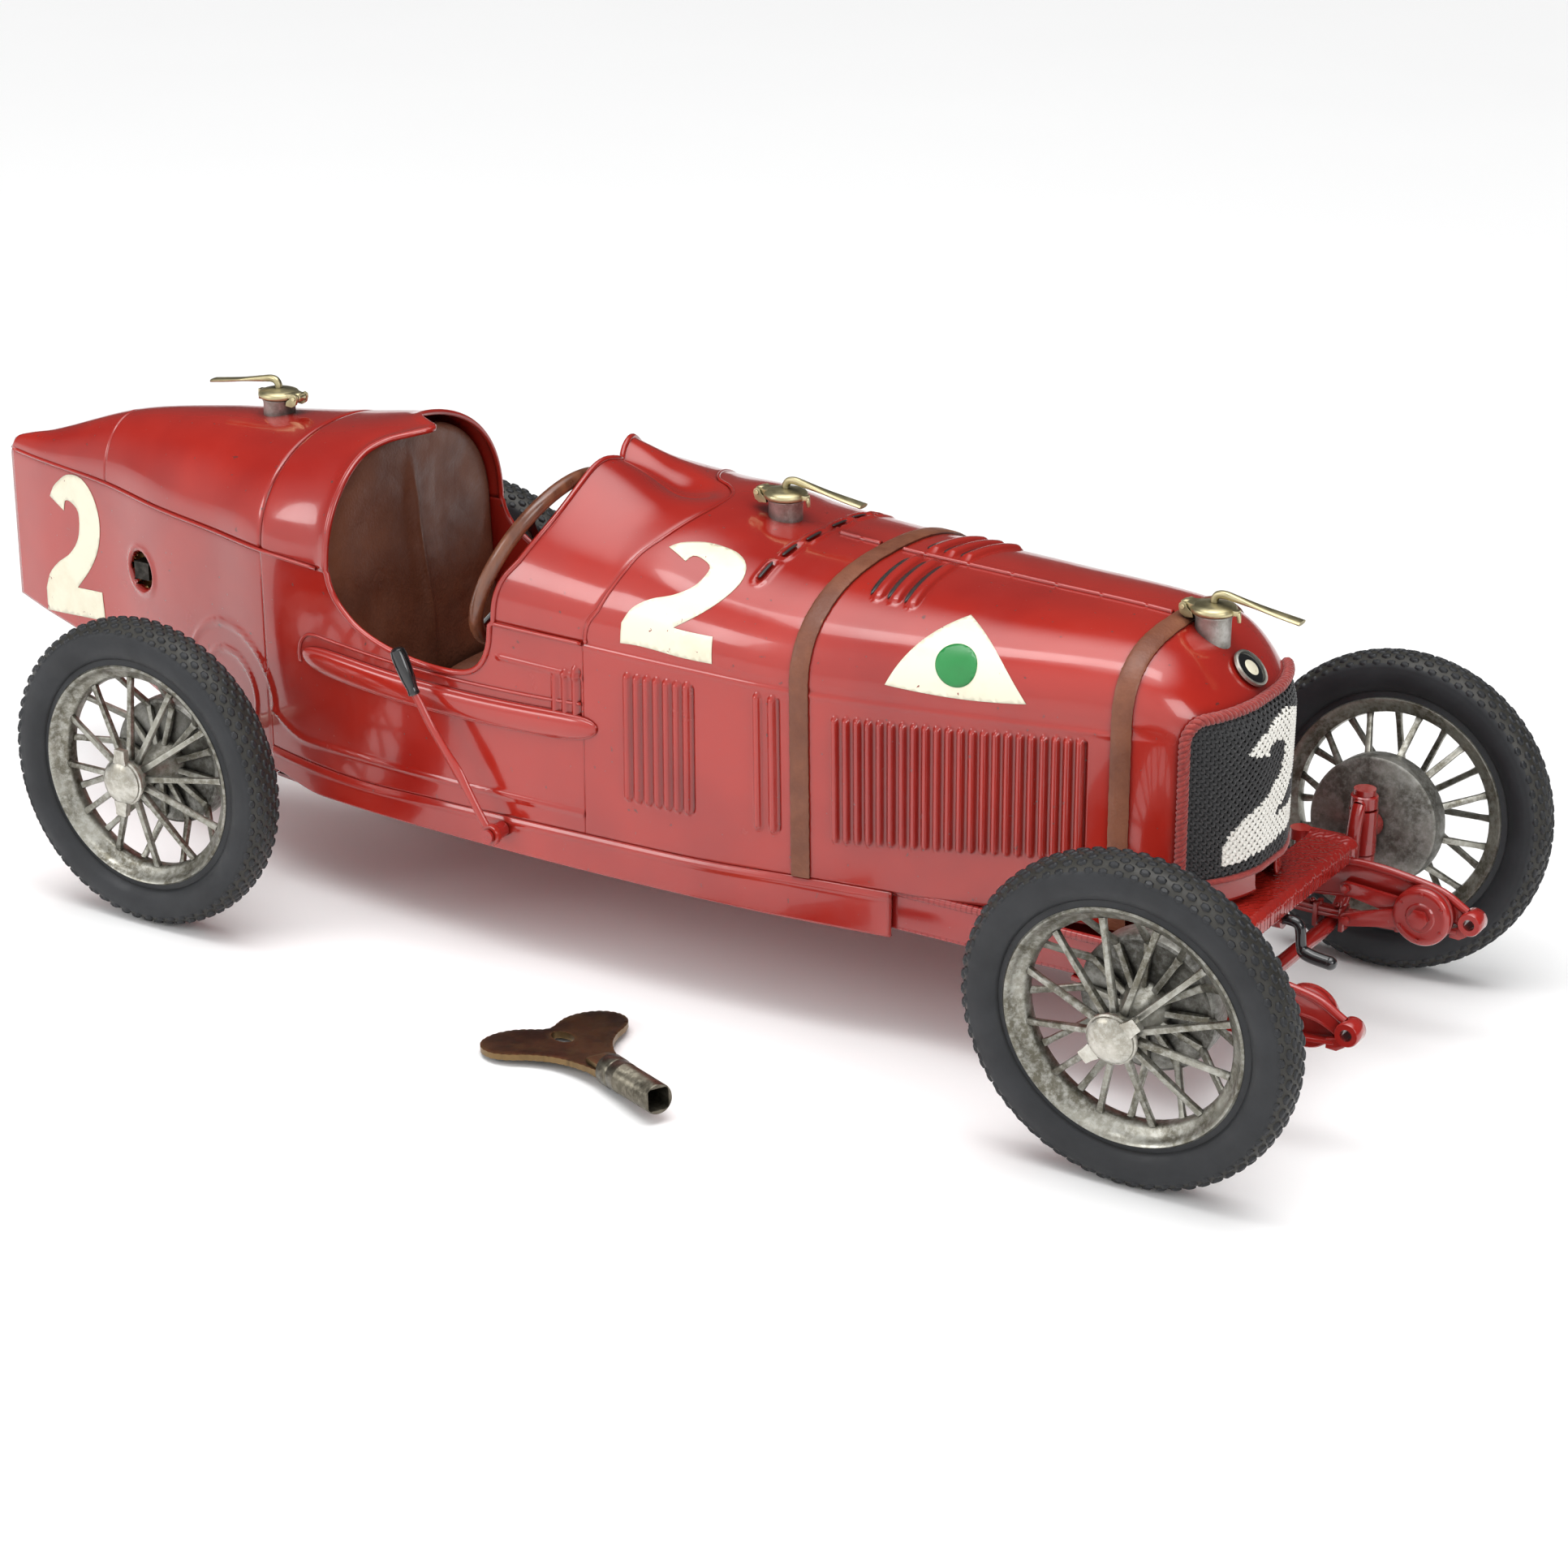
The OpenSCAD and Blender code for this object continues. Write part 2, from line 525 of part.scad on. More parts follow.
module scuttle_filler_lid() filler_lid(scuttle_filler);
module radiator_filler_lid() filler_lid(radiator_filler);

// ---- wheels -----------------------------------------------------------------------------------
// Wheel frame: origin at the wheel's centre, +Z outward along the axle
module wheel_frame(x, s, z, lean) translate([x, s * half_track, z])
  rotate([-s * (90 + lean), 0, 0]) children();
module at_rear(s) wheel_frame(-rear_x, s, tyre_r, 0) children();
module at_front(s) wheel_frame(front_x, s, front_hub_z, camber) children();
drum_r = 20.5;
drum_in = -19;
drum_out = -10;
hub_r = 5.8;
hub_out = 10;

// Rod between two points in a plane through the wheel's axis
module spoke(r0, z0, r1, z1) {
  dr = r1 - r0;
  dz = z1 - z0;
  translate([r0, 0, z0]) rotate([0, atan2(dr, dz), 0]) cylinder(r = 0.95, h = norm([dr, dz]), $fn = 16);
}
module spoked_wheel(bore) {
  color(zinc) difference() {
    union() {
      rotate_extrude($fn = 72) polygon([[31, -3], [33.4, -5.3], [rim_r, -5.3], [rim_r, 5.3],
        [33.4, 5.3], [31, 3]]);
      cylinder(r = hub_r, h = hub_out, $fn = 40);
      translate([0, 0, drum_in]) cylinder(r = drum_r, h = drum_out - drum_in, $fn = 64);
      translate([0, 0, drum_out]) cylinder(r = 7.5, h = -drum_out, $fn = 40);
      for (k = [0:spoke_n - 1]) rotate([0, 0, 360 * k / spoke_n]) spoke(4.5, 6, 32, 0.8);
      for (k = [0:spoke_n - 1]) rotate([0, 0, 360 * (k + 0.5) / spoke_n]) spoke(19, -11, 32, -1.2);
    }
    translate([0, 0, -30]) cylinder(r = bore, h = 60, $fn = 32);
  }
}
module tyre() {
  // Rounded section: superellipse around the middle of the tyre's height
  mid = (tyre_r + rim_r) / 2;
  hr = (tyre_r - rim_r) / 2;
  color(black) rotate_extrude($fn = 96) polygon([for (k = [0:19]) let (a = 18 * k)
    [mid + hr * sgn_pow(cos(a), 0.85), tyre_w / 2 * sgn_pow(sin(a), 0.85)]]);
}
// Knock-off nut with two ears
module hub_nut() {
  color(zinc) difference() {
    union() {
      translate([0, 0, hub_out]) cylinder(r = 7.4, h = 2.6, $fn = 40);
      translate([0, 0, hub_out + 2.6]) cylinder(r1 = 6, r2 = 4, h = 1.6, $fn = 40);
      translate([-11, -1.5, hub_out + 0.2]) cube([22, 3, 2.2]);
    }
    translate([0, 0, hub_out - 1]) cylinder(r = 2.9, h = 3, $fn = 32);
  }
}
module rear_wheel_right() at_rear(-1) spoked_wheel(axle_r);
module rear_wheel_left() at_rear(1) spoked_wheel(axle_r);
module rear_tyre_right() at_rear(-1) tyre();
module rear_tyre_left() at_rear(1) tyre();
module rear_hub_nuts() for (s = [-1, 1]) at_rear(s) hub_nut();
module front_wheel_right() at_front(-1) spoked_wheel(axle_r + gap);
module front_wheel_left() at_front(1) spoked_wheel(axle_r + gap);
module front_tyre_right() at_front(-1) tyre();
module front_tyre_left() at_front(1) tyre();
module front_hub_nut_right() at_front(-1) hub_nut();
module front_hub_nut_left() at_front(1) hub_nut();

// ---- steering ---------------------------------------------------------------------------------
pin_low = 26;
rod_z = 28.4;
tie_pin_r = 1.6;
module knuckle(s) {
  barrel = [ear_low[1] + 0.3, ear_top[0] - 0.3];
  stub = half_track - kingpin_y;
  color(red) difference() {
    union() {
      translate([front_x, s * kingpin_y, barrel[0]]) cylinder(r = 4.4, h = barrel[1] - barrel[0], $fn = 40);
      translate([front_x - steer_arm, s * kingpin_y - 2, barrel[0]]) cube([steer_arm, 4, 3.4]);
      translate([front_x - steer_arm, s * kingpin_y, barrel[0]]) cylinder(r = 3.2, h = 3.4, $fn = 32);
      at_front(s) translate([0, 0, -stub]) cylinder(r = axle_r, h = stub + hub_out + 1, $fn = 32);
      at_front(s) translate([0, 0, -stub]) cylinder(r = 4, h = 6.4, $fn = 32);
      translate([front_x - steer_arm, s * kingpin_y, pin_low])
        cylinder(r = tie_pin_r, h = barrel[0] - pin_low + 1, $fn = 24);
    }
    translate([front_x, s * kingpin_y, 30]) cylinder(r = 2 + gap, h = 50, $fn = 32);
  }
}
module knuckle_right() knuckle(-1);
module knuckle_left() knuckle(1);
// Tie between the two steering arms; its left eye is open by a larger clearance
module track_rod() {
  x = front_x - steer_arm;
  color(red) difference() {
    union() {
      translate([x, -kingpin_y + 2, rod_z]) rotate([-90, 0, 0])
        cylinder(r = 1.5, h = 2 * kingpin_y - 4, $fn = 24);
      for (s = [-1, 1]) translate([x, s * kingpin_y, rod_z - 1.8]) cylinder(r = 3.4, h = 3.6, $fn = 32);
    }
    translate([x, -kingpin_y, rod_z - 4]) cylinder(r = tie_pin_r + gap, h = 8, $fn = 24);
    translate([x, kingpin_y, rod_z - 4]) cylinder(r = 2.1, h = 8, $fn = 24);
  }
}
rim_tube = 2.3;
module steering_wheel() {
  ring = wheel_d / 2 - rim_tube;
  color(leather) on_column() {
    rotate_extrude($fn = 96) translate([ring, 0]) circle(r = rim_tube, $fn = 32);
    for (k = [0:3]) rotate([0, 0, 45 + 90 * k]) translate([1.7, -1.6, -0.6]) cube([ring - 2, 3.2, 1.4]);
    translate([0, 0, -2.5]) difference() {
      cylinder(r = 5, h = 5, $fn = 32);
      translate([0, 0, 1.5]) cylinder(r = 1.8, h = 5, $fn = 24);
    }
  }
}
module steering_shaft() {
  color(black) on_column() translate([0, 0, -1]) cylinder(r = 1.8, h = 74, $fn = 32);
}

// ---- hand brake -------------------------------------------------------------------------------
lever_y = -60;
lever_t = 2.4;
lever_foot = [-21, 42];
lever_neck = [-48.8, 82.5];
lever_tip = [-55.3, 96.3];
lever_pin = 1.2;
module brake_lever() {
  color(black) difference() {
    slab([0, 0], lever_y - lever_t / 2, lever_y + lever_t / 2) union() {
      translate(lever_foot) circle(r = 3.4, $fn = 40);
      polygon([lever_foot + [-1.8, 0.8], lever_foot + [1.8, -0.8], [-31.5, 57.5], [-39.2, 67.2],
        lever_neck + [1.3, 0.6], lever_neck + [-1.3, -0.6], [-42, 68.6], [-34.2, 58.6]]);
    }
    disc(lever_foot, lever_y - 4, lever_y + 4, lever_pin + gap);
  }
}
module brake_grip() {
  d = lever_tip - lever_neck;
  color(black) translate([lever_neck[0], lever_y, lever_neck[1]]) rotate([0, atan2(d[0], d[1]), 0])
    cylinder(r1 = 1.9, r2 = 2.7, h = norm(d), $fn = 32);
}
module lever_pivot() {
  color(zinc) {
    disc(lever_foot, lever_y - lever_t / 2 - 0.4, -54.2, lever_pin);
    disc(lever_foot, lever_y - lever_t / 2 - 1.4, lever_y - lever_t / 2 - 0.4, 2.2);
    disc(lever_foot, lever_y + lever_t / 2 + 0.4, -54.2, 2.6);
  }
}

// ---- starting crank ---------------------------------------------------------------------------
// Round rod from a to b
module rod(a, b, r) {
  d = b - a;
  translate(a) rotate([0, acos(d[2] / norm(d)), atan2(d[1], d[0])]) cylinder(r = r, h = norm(d), $fn = 24);
}
module starting_crank() {
  arm = [220.2, 0, crank_z];
  elbow = [222, 0, crank_z - 9];
  color(black) {
    rod([206.5, 0, crank_z], arm, crank_r);
    rod(arm, elbow, crank_r);
    rod(elbow, [231.5, 0, crank_z - 10.4], 1.9);
    for (p = [arm, elbow]) translate(p) sphere(r = crank_r + 0.4, $fn = 32);
  }
}

// ---- clockwork --------------------------------------------------------------------------------
arbor_x = -188.5;
arbor_z = 87.2;
keyhole_r = 6.5;
square_len = 5.8;
arbor_end = 17.6;
plate_y = 15;
plate_t = 1.2;
arbor_r = 3;
axle_at = [-rear_x, tyre_r];
arbor_at = [arbor_x, arbor_z];
// The intermediate shaft sits where both gear pairs mesh, on the upper side of the line of centres
reach_a = gear_m * (axle_teeth + inter_teeth) / 2;
reach_b = gear_m * (small_teeth + great_teeth) / 2;
span = norm(arbor_at - axle_at);
along = (reach_a ^ 2 - reach_b ^ 2 + span ^ 2) / (2 * span);
lift = sqrt(reach_a ^ 2 - along ^ 2);
dir = (arbor_at - axle_at) / span;
inter_at = axle_at + along * dir + lift * [dir[1], -dir[0]];
function bearing(a, b) = atan2(b[1] - a[1], b[0] - a[0]);

function inv_pt(rb, t) = rb * [cos(t) + t * PI / 180 * sin(t), sin(t) - t * PI / 180 * cos(t)];
function spin(p, a) = [p[0] * cos(a) - p[1] * sin(a), p[0] * sin(a) + p[1] * cos(a)];
// Involute spur gear in the XZ plane with one tooth centred at angle phase
module gear_outline(teeth, phase) {
  pitch = gear_m * teeth / 2;
  rb = pitch * cos(20);
  tip = pitch + 0.95 * gear_m;
  root = pitch - 1.2 * gear_m;
  t_pitch = tan(20) * 180 / PI;
  t_tip = sqrt((tip / rb) ^ 2 - 1) * 180 / PI;
  // Half the tooth's angle at the base circle, thinned for backlash
  half = 90 / teeth + t_pitch - 20 - 0.09 * 180 / (PI * pitch);
  flank = [for (k = [0:4]) let (t = t_tip * k / 4) spin(inv_pt(rb, t), -half)];
  one = concat([root * [cos(half * 1.02), -sin(half * 1.02)]], flank,
    [for (k = [4:-1:0]) [flank[k][0], -flank[k][1]]], [root * [cos(half * 1.02), sin(half * 1.02)]]);
  polygon([for (i = [0:teeth - 1]) for (p = one) spin(p, phase + 360 * i / teeth)]);
}
// Solid between y0 and y1 (y0 < y1) from an outline in the XZ plane
module slab(at, y0, y1) translate([at[0], y1, at[1]]) rotate([90, 0, 0]) linear_extrude(y1 - y0) children();
module disc(at, y0, y1, r) translate([at[0], y1, at[1]]) rotate([90, 0, 0])
  cylinder(r = r, h = y1 - y0, $fn = 40);

module rear_axle_shaft() {
  end = half_track + hub_out + 1;
  color(zinc) disc(axle_at, -end, end, axle_r);
}
module axle_pinion() {
  phase = bearing(axle_at, inter_at);
  color(brass) difference() {
    slab(axle_at, 9.2, 13.2) gear_outline(axle_teeth, phase);
    disc(axle_at, 9, 14, axle_r);
  }
}
module intermediate_shaft() {
  color(brass) {
    disc(inter_at, -plate_y - plate_t, plate_y + plate_t, 2);
    slab(inter_at, 10, 12.4) gear_outline(inter_teeth, bearing(inter_at, axle_at) + 180 / inter_teeth);
    slab(inter_at, -11.2, -8) gear_outline(small_teeth, bearing(inter_at, arbor_at));
  }
}
great_y = [-10.8, -8.4];
module great_wheel() {
  color(brass) {
    click_stud();
    difference() {
      slab(arbor_at, great_y[0], great_y[1])
        gear_outline(great_teeth, bearing(arbor_at, inter_at) + 180 / great_teeth);
      disc(arbor_at, -20, 20, arbor_r + gap);
    }
  }
}
ratchet_y = [-13.4, -11.3];
ratchet_tip = 9.5;
ratchet_root = 8.2;
click_at = [17, 0];
module ratchet_outline() {
  polygon([for (i = [0:ratchet_teeth - 1]) for (k = [0, 1]) let (a = 360 / ratchet_teeth * i)
    (k == 0 ? ratchet_root : ratchet_tip) * [cos(a), sin(a)]]);
}
module winding_arbor() {
  color(zinc) {
    disc(arbor_at, -arbor_end, plate_y + plate_t, arbor_r);
    difference() {
      slab(arbor_at, ratchet_y[0], ratchet_y[1]) ratchet_outline();
      disc(arbor_at, -20, 20, arbor_r - 0.5);
    }
    translate([arbor_x, -arbor_end, arbor_z]) rotate([90, 0, 0]) linear_extrude(square_len)
      square(arbor_sq, center = true);
  }
}
// Pawl on the great wheel's face: its nose sits just clear of the ratchet's tooth
click_pin = 1.2;
module ratchet_click() {
  color(zinc) difference() {
    slab(arbor_at, ratchet_y[0], ratchet_y[1]) union() {
      translate(click_at) circle(r = 2.6, $fn = 32);
      polygon([[17.6, 2.4], [15, -0.6], [8.75, 4.9], [9.2, 6.4]]);
    }
    disc(arbor_at + click_at, -20, 0, click_pin + gap);
  }
}
module click_stud() disc(arbor_at + click_at, ratchet_y[0] - 0.4, great_y[0], click_pin);

module motor_plate(y0) {
  color(brass) difference() {
    slab([0, 0], y0, y0 + plate_t) polygon([[-199, 66], [-200, 100], [-190, 121.5], [-158, 122],
      [-123, 96], [-123, 43], [-146, 44.5], [-182, 52]]);
    disc(axle_at, y0 - 1, y0 + 3, axle_r + gap);
    disc(inter_at, y0 - 1, y0 + 3, 2 + gap);
    disc(arbor_at, y0 - 1, y0 + 3, arbor_r + gap);
  }
}
module motor_plates() {
  motor_plate(-plate_y - plate_t);
  motor_plate(plate_y);
}
// Distance pieces between the plates, clear of the great wheel, with a nut outside each plate
pillar_at = [[-182, 57], [-184, 118], [-128, 92], [-142, 115]];
pillar_r = 1.8;
nut_r = 2.6;
nut_t = 1.2;
module motor_pillars() color(zinc) for (p = pillar_at) {
  outside = plate_y + plate_t;
  disc(p, -plate_y, plate_y, pillar_r);
  disc(p, outside, outside + nut_t, nut_r);
  disc(p, -outside - nut_t, -outside, nut_r);
}
// Flat spiral from just outside the arbor to the lower pillar
module mainspring() {
  turns = 6;
  n = 120;
  r0 = 4.2;
  r1 = 23;
  strip = 0.8;
  function at(k, r) = let (a = 360 * turns * k / n + 70) r * [cos(a), sin(a)];
  color(black) slab(arbor_at, -6.5, 8)
    polygon(concat([for (k = [0:n]) at(k, mix(r0, r1, k / n))],
      [for (k = [n:-1:0]) at(k, mix(r0, r1, k / n) + strip)]));
}

// ---- winding key ------------------------------------------------------------------------------
key_end = [84, -126.6, 7.4];
key_turn = 152.8;
key_lean = 4.95;
stem_r = 4.6;
key_sock = 6.4;
stem_len = 24;
collar_r = 4.9;
wing_x = 62;
wing_y = 13;
wing_r = 10.5;
key_plate = 2.2;
// Key frame: +X runs from the socket's mouth to the wings. The collar and wings rest on the ground.
module winding_key() {
  color(brass) translate(key_end) rotate([0, key_lean, key_turn]) {
    difference() {
      union() {
        rotate([0, 90, 0]) cylinder(r = stem_r, h = stem_len + 1, $fn = 40);
        translate([stem_len, 0, 0]) rotate([0, 90, 0]) cylinder(r = collar_r, h = 5, $fn = 40);
      }
      translate([-1, -key_sock / 2, -key_sock / 2]) cube([15, key_sock, key_sock]);
    }
    translate([0, 0, -key_plate / 2]) linear_extrude(key_plate) difference() {
      union() {
        polygon([[stem_len + 4.9, -4.6], [48, -10], [55, -19], [68, -19], [68, 19], [55, 19], [48, 10],
          [stem_len + 4.9, 4.6]]);
        for (s = [-1, 1]) translate([wing_x, s * wing_y]) circle(r = wing_r, $fn = 48);
      }
      translate([79, 0]) circle(r = 8.5, $fn = 48);
      translate([54.5, 0]) circle(r = 3.6, $fn = 32);
    }
  }
}

tail_deck();
tail_tub();
cockpit_shell();
cowl();
scuttle();
bonnet();
radiator_cowl();
radiator_screen();
nose_badge();
side_skirts();
side_mouldings();
undertray();
front_rails();
front_apron();
front_strap();
rear_strap();
front_axle_beam();
kingpins();
leaf_springs();
shock_absorbers();
crank_bush();
seat_base();
seat_cushion();
seat_back();
bulkhead();
column_tube();
filler_necks();
motor_plates();
motor_pillars();
mainspring();
lever_pivot();
rear_axle_shaft();
axle_pinion();
rear_wheel_right();
rear_wheel_left();
rear_tyre_right();
rear_tyre_left();
rear_hub_nuts();
intermediate_shaft();
great_wheel();
ratchet_click();
winding_arbor();
knuckle_right();
knuckle_left();
front_wheel_right();
front_wheel_left();
front_tyre_right();
front_tyre_left();
front_hub_nut_right();
front_hub_nut_left();
track_rod();
steering_wheel();
steering_shaft();
brake_lever();
brake_grip();
rear_filler_lid();
scuttle_filler_lid();
radiator_filler_lid();
starting_crank();
winding_key();
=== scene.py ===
"""Clockwork tinplate racing car: the visual model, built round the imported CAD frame."""
import math
import random
from contextlib import contextmanager

import bmesh
import bpy
import numpy as np
from mathutils import Matrix, Vector, geometry


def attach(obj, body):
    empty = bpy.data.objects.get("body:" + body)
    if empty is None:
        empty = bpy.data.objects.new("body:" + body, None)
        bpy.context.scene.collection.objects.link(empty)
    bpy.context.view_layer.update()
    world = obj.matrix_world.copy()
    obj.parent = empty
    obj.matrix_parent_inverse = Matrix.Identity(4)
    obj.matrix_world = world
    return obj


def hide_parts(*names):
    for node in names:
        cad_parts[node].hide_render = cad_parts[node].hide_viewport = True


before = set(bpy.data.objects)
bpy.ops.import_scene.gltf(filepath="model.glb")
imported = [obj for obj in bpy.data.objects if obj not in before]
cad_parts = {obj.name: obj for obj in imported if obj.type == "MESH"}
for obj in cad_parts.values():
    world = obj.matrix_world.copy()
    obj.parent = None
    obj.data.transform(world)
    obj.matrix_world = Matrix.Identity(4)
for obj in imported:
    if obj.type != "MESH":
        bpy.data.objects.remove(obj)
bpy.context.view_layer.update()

MM = 0.001
TAU = 2 * math.pi
PI = math.pi

# Driving sizes in millimetres, the same as the CAD's
TYRE_R = 50.0
REAR_X = -131.0
FRONT_X = 212.0
HALF_TRACK = 91.0
CAMBER = math.radians(5.7)
FRONT_HUB_Z = 7 + 43 * math.cos(CAMBER) - 0.02
SHEET = 0.9
SIDES = ((-1, "right"), (1, "left"))


# ---- smooth curves through stations -----------------------------------------------------------
def curve(table, x):
    """Smooth cubic through a list of (x, value) pairs, for a number or an array."""
    t = np.asarray(table, float)
    xs, vs = t[:, 0], t[:, 1]
    n = len(xs)
    lo = np.maximum(np.arange(n) - 1, 0)
    hi = np.minimum(np.arange(n) + 1, n - 1)
    tilt = (vs[hi] - vs[lo]) / (xs[hi] - xs[lo])
    i = np.clip(np.searchsorted(xs, x, side="right") - 1, 0, n - 2)
    h = xs[i + 1] - xs[i]
    u = (np.asarray(x, float) - xs[i]) / h
    return (
        (1 + 2 * u) * (1 - u) ** 2 * vs[i]
        + u * (1 - u) ** 2 * h * tilt[i]
        + u**2 * (3 - 2 * u) * vs[i + 1]
        + u**2 * (u - 1) * h * tilt[i + 1]
    )


def mix(a, b, u):
    return a + (b - a) * u


def run_along(p):
    """Distance run at each point of a path, from 0."""
    return np.concatenate([[0], np.cumsum(np.linalg.norm(np.diff(p, axis=0), axis=1))])


def unit(rows):
    return rows / np.linalg.norm(rows, axis=1, keepdims=True)


def full_turn(n):
    return np.linspace(0, TAU, n, endpoint=False)


def shift(at):
    return Matrix.Translation(Vector(at))


def spin(angle, axis):
    return Matrix.Rotation(angle, 4, axis)


def aim(a, b):
    """Matrix that stands on a with Z towards b, and the distance between them."""
    d = np.asarray(b, float) - np.asarray(a, float)
    return shift(a) @ Vector(d).to_track_quat("Z", "Y").to_matrix().to_4x4(), float(np.linalg.norm(d))


def bell(v, centre, spread):
    return np.exp(-(((v - centre) / spread) ** 2))


def ramp(v, a, b):
    """0 below a, 1 above b, smooth between."""
    u = np.clip((np.asarray(v, float) - a) / (b - a), 0, 1)
    return u * u * (3 - 2 * u)


BELT_W = [(-264, 1.5), (-245, 7.5), (-208, 17.2), (-176, 28.5), (-146, 36.5), (-120, 44.5),
          (-95, 46.5), (-60, 50.5), (-13, 53), (29, 53.8), (47, 53.8), (81, 53), (130, 46.5), (178, 38.3)]
BELT_Z = [(-264, 112.5), (-208, 112.8), (-146, 112), (-120, 112), (-95, 110.5), (-60, 109),
          (-13, 108.3), (29, 107.8), (81, 107.5), (130, 108.3), (178, 109)]
TOP_Z = [(-264, 113.2), (-262.5, 116.2), (-257, 118.4), (-245, 121.5), (-208, 134), (-176, 139.5),
         (-146, 142.5), (-120, 145.3), (-95, 148.5), (-60, 148.5), (-13, 146), (14, 143.5), (29, 143),
         (47, 139.5), (81, 136.5),
         (130, 134.5), (178, 132.5), (187, 129.8), (194, 125.5), (202, 118.5), (206.5, 112.8), (209.6, 106)]
ARCH_N = [(-264, 2), (-200, 2.1), (-95, 2.2), (-13, 2.4), (81, 2.45), (130, 2.7), (178, 3), (209.6, 2.2)]
FOOT_W = [(-264, 1.2), (-245, 7), (-208, 15.5), (-176, 26), (-146, 35.5), (-120, 43), (-95, 47.5),
          (-60, 51), (-13, 53), (29, 53.2), (55, 52.5), (81, 50.8), (130, 44.8), (178, 37)]
FOOT_Z = [(-264, 60), (-232, 55.5), (-196, 48), (-180, 45), (-140, 40), (-120, 36.5)]
SILL_Z = [(-120, 46), (-94, 44.5), (-76, 44.2), (-47, 45.3), (3, 46.6), (55, 47.4), (81, 48.5),
          (130, 49), (178, 49)]
NOSE_FROM = 178.0
NOSE_X = 209.5
TAIL_X = -264.0
HOOP_SEAM = -120.0
SCUTTLE_FRONT = 84.0
COWL_FROM = 181.0
COWL_Z = 108.0


def nose_u(x):
    return np.clip((x - NOSE_FROM) / (NOSE_X + 0.6 - NOSE_FROM), 0, 1)


def nose_k(x):
    return np.sqrt(np.maximum(0, 1 - nose_u(x) ** 2.6))


def tapered(table, x, at_nose):
    """A half width from its table, then closing in round the nose."""
    x = np.asarray(x, float)
    front = (at_nose - 0.12 * (x - NOSE_FROM)) * nose_k(x)
    return np.where(x < NOSE_FROM, curve(table, np.minimum(x, NOSE_FROM)), front)


def half_w(x):
    return tapered(BELT_W, x, 38.3)


def half_f(x):
    return tapered(FOOT_W, x, 37)


def belt(x):
    x = np.asarray(x, float)
    return np.where(x < NOSE_FROM, curve(BELT_Z, np.minimum(x, NOSE_FROM)), 109 - 5 * nose_u(x) ** 2)


def sill(x):
    return curve(SILL_Z, np.minimum(x, NOSE_FROM))


def crown(x):
    return curve(TOP_Z, x)


def side_w(x, z, foot=None):
    """Half width of the flank at x and height z."""
    low = sill(x) if foot is None else foot
    v = np.clip((z - low) / (belt(x) - low), 0, 1)
    return mix(half_f(x), half_w(x), v)


def arch(x, a, base=None):
    """Point of the arch over the body: angle 0 is the right belt, pi the left."""
    n = curve(ARCH_N, x)
    zb = belt(x) if base is None else base
    c, s = np.cos(a), np.sin(a)
    y = -np.maximum(half_w(x), 0.4) * np.sign(c) * np.abs(c) ** (2 / n)
    z = zb + np.maximum(crown(x) - zb, 0.3) * np.abs(s) ** (2 / n)
    return np.stack([x + 0 * y, y, z], -1)


def arc_angle(x, arc):
    """Angle on the right half of the arch at a distance arc down from the crown."""
    a = np.linspace(PI / 2, 0, 160)
    p = arch(np.full(160, float(x)), a)
    run = run_along(p)
    return np.interp(arc, run, a), run[-1]


def on_body(x, down):
    """Point and outward normal on the car's right side, down mm below the crown along the skin."""
    def at(x, d):
        a, full = arc_angle(x, d)
        if d <= full:
            return arch(np.array(float(x)), a)
        z = float(belt(x)) - (d - full)
        return np.array([x, -float(side_w(x, z)), z])
    p = at(x, down)
    dx = at(x + 0.5, down) - at(x - 0.5, down)
    dd = at(x, down + 0.5) - at(x, max(down - 0.5, 0))
    n = np.cross(dd, dx)
    n = n / np.linalg.norm(n)
    if n[1] > 0:
        n = -n
    return p, n


# ---- mesh helpers -------------------------------------------------------------------------------
def add_object(name, verts, faces, mats, smooth=True, face_mats=None):
    """Mesh object from points in mm."""
    me = bpy.data.meshes.new(name)
    me.from_pydata([tuple(v) for v in np.asarray(verts, float) * MM], [], [tuple(map(int, f)) for f in faces])
    ob = bpy.data.objects.new(name, me)
    bpy.context.scene.collection.objects.link(ob)
    for m in mats if isinstance(mats, (list, tuple)) else [mats]:
        me.materials.append(m)
    if face_mats is not None:
        me.polygons.foreach_set("material_index", np.asarray(face_mats, np.int32))
    me.polygons.foreach_set("use_smooth", np.full(len(me.polygons), smooth))
    me.update()
    return ob


def grid_faces(m, n, wrap_u=False, wrap_v=False):
    i = np.arange(m if wrap_u else m - 1)
    j = np.arange(n if wrap_v else n - 1)
    ii, jj = np.meshgrid(i, j, indexing="ij")
    a = ii * n + jj
    b = ((ii + 1) % m) * n + jj
    c = ((ii + 1) % m) * n + (jj + 1) % n
    d = ii * n + (jj + 1) % n
    return np.stack([a, b, c, d], -1).reshape(-1, 4)


def grid_normals(p):
    du = np.gradient(p, axis=0)
    dv = np.gradient(p, axis=1)
    n = np.cross(du, dv)
    length = np.linalg.norm(n, axis=-1, keepdims=True)
    return n / np.maximum(length, 1e-9)


def place(ob, body, *nodes, slot=None):
    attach(ob, body)
    if nodes:
        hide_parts(*nodes)
    return ob


def modifier(ob, kind, **values):
    mod = ob.modifiers.new(kind.lower(), kind)
    for k, v in values.items():
        setattr(mod, k, v)
    return mod


def thicken(ob, thickness):
    """Gives a sheet its thickness in mm, inwards from its outer face."""
    modifier(ob, "SOLIDIFY", thickness=thickness * MM, offset=-1.0)


@contextmanager
def edited(ob):
    """The object's mesh opened for editing, and written back at the end."""
    bm = bmesh.new()
    bm.from_mesh(ob.data)
    yield bm
    bm.to_mesh(ob.data)
    bm.free()


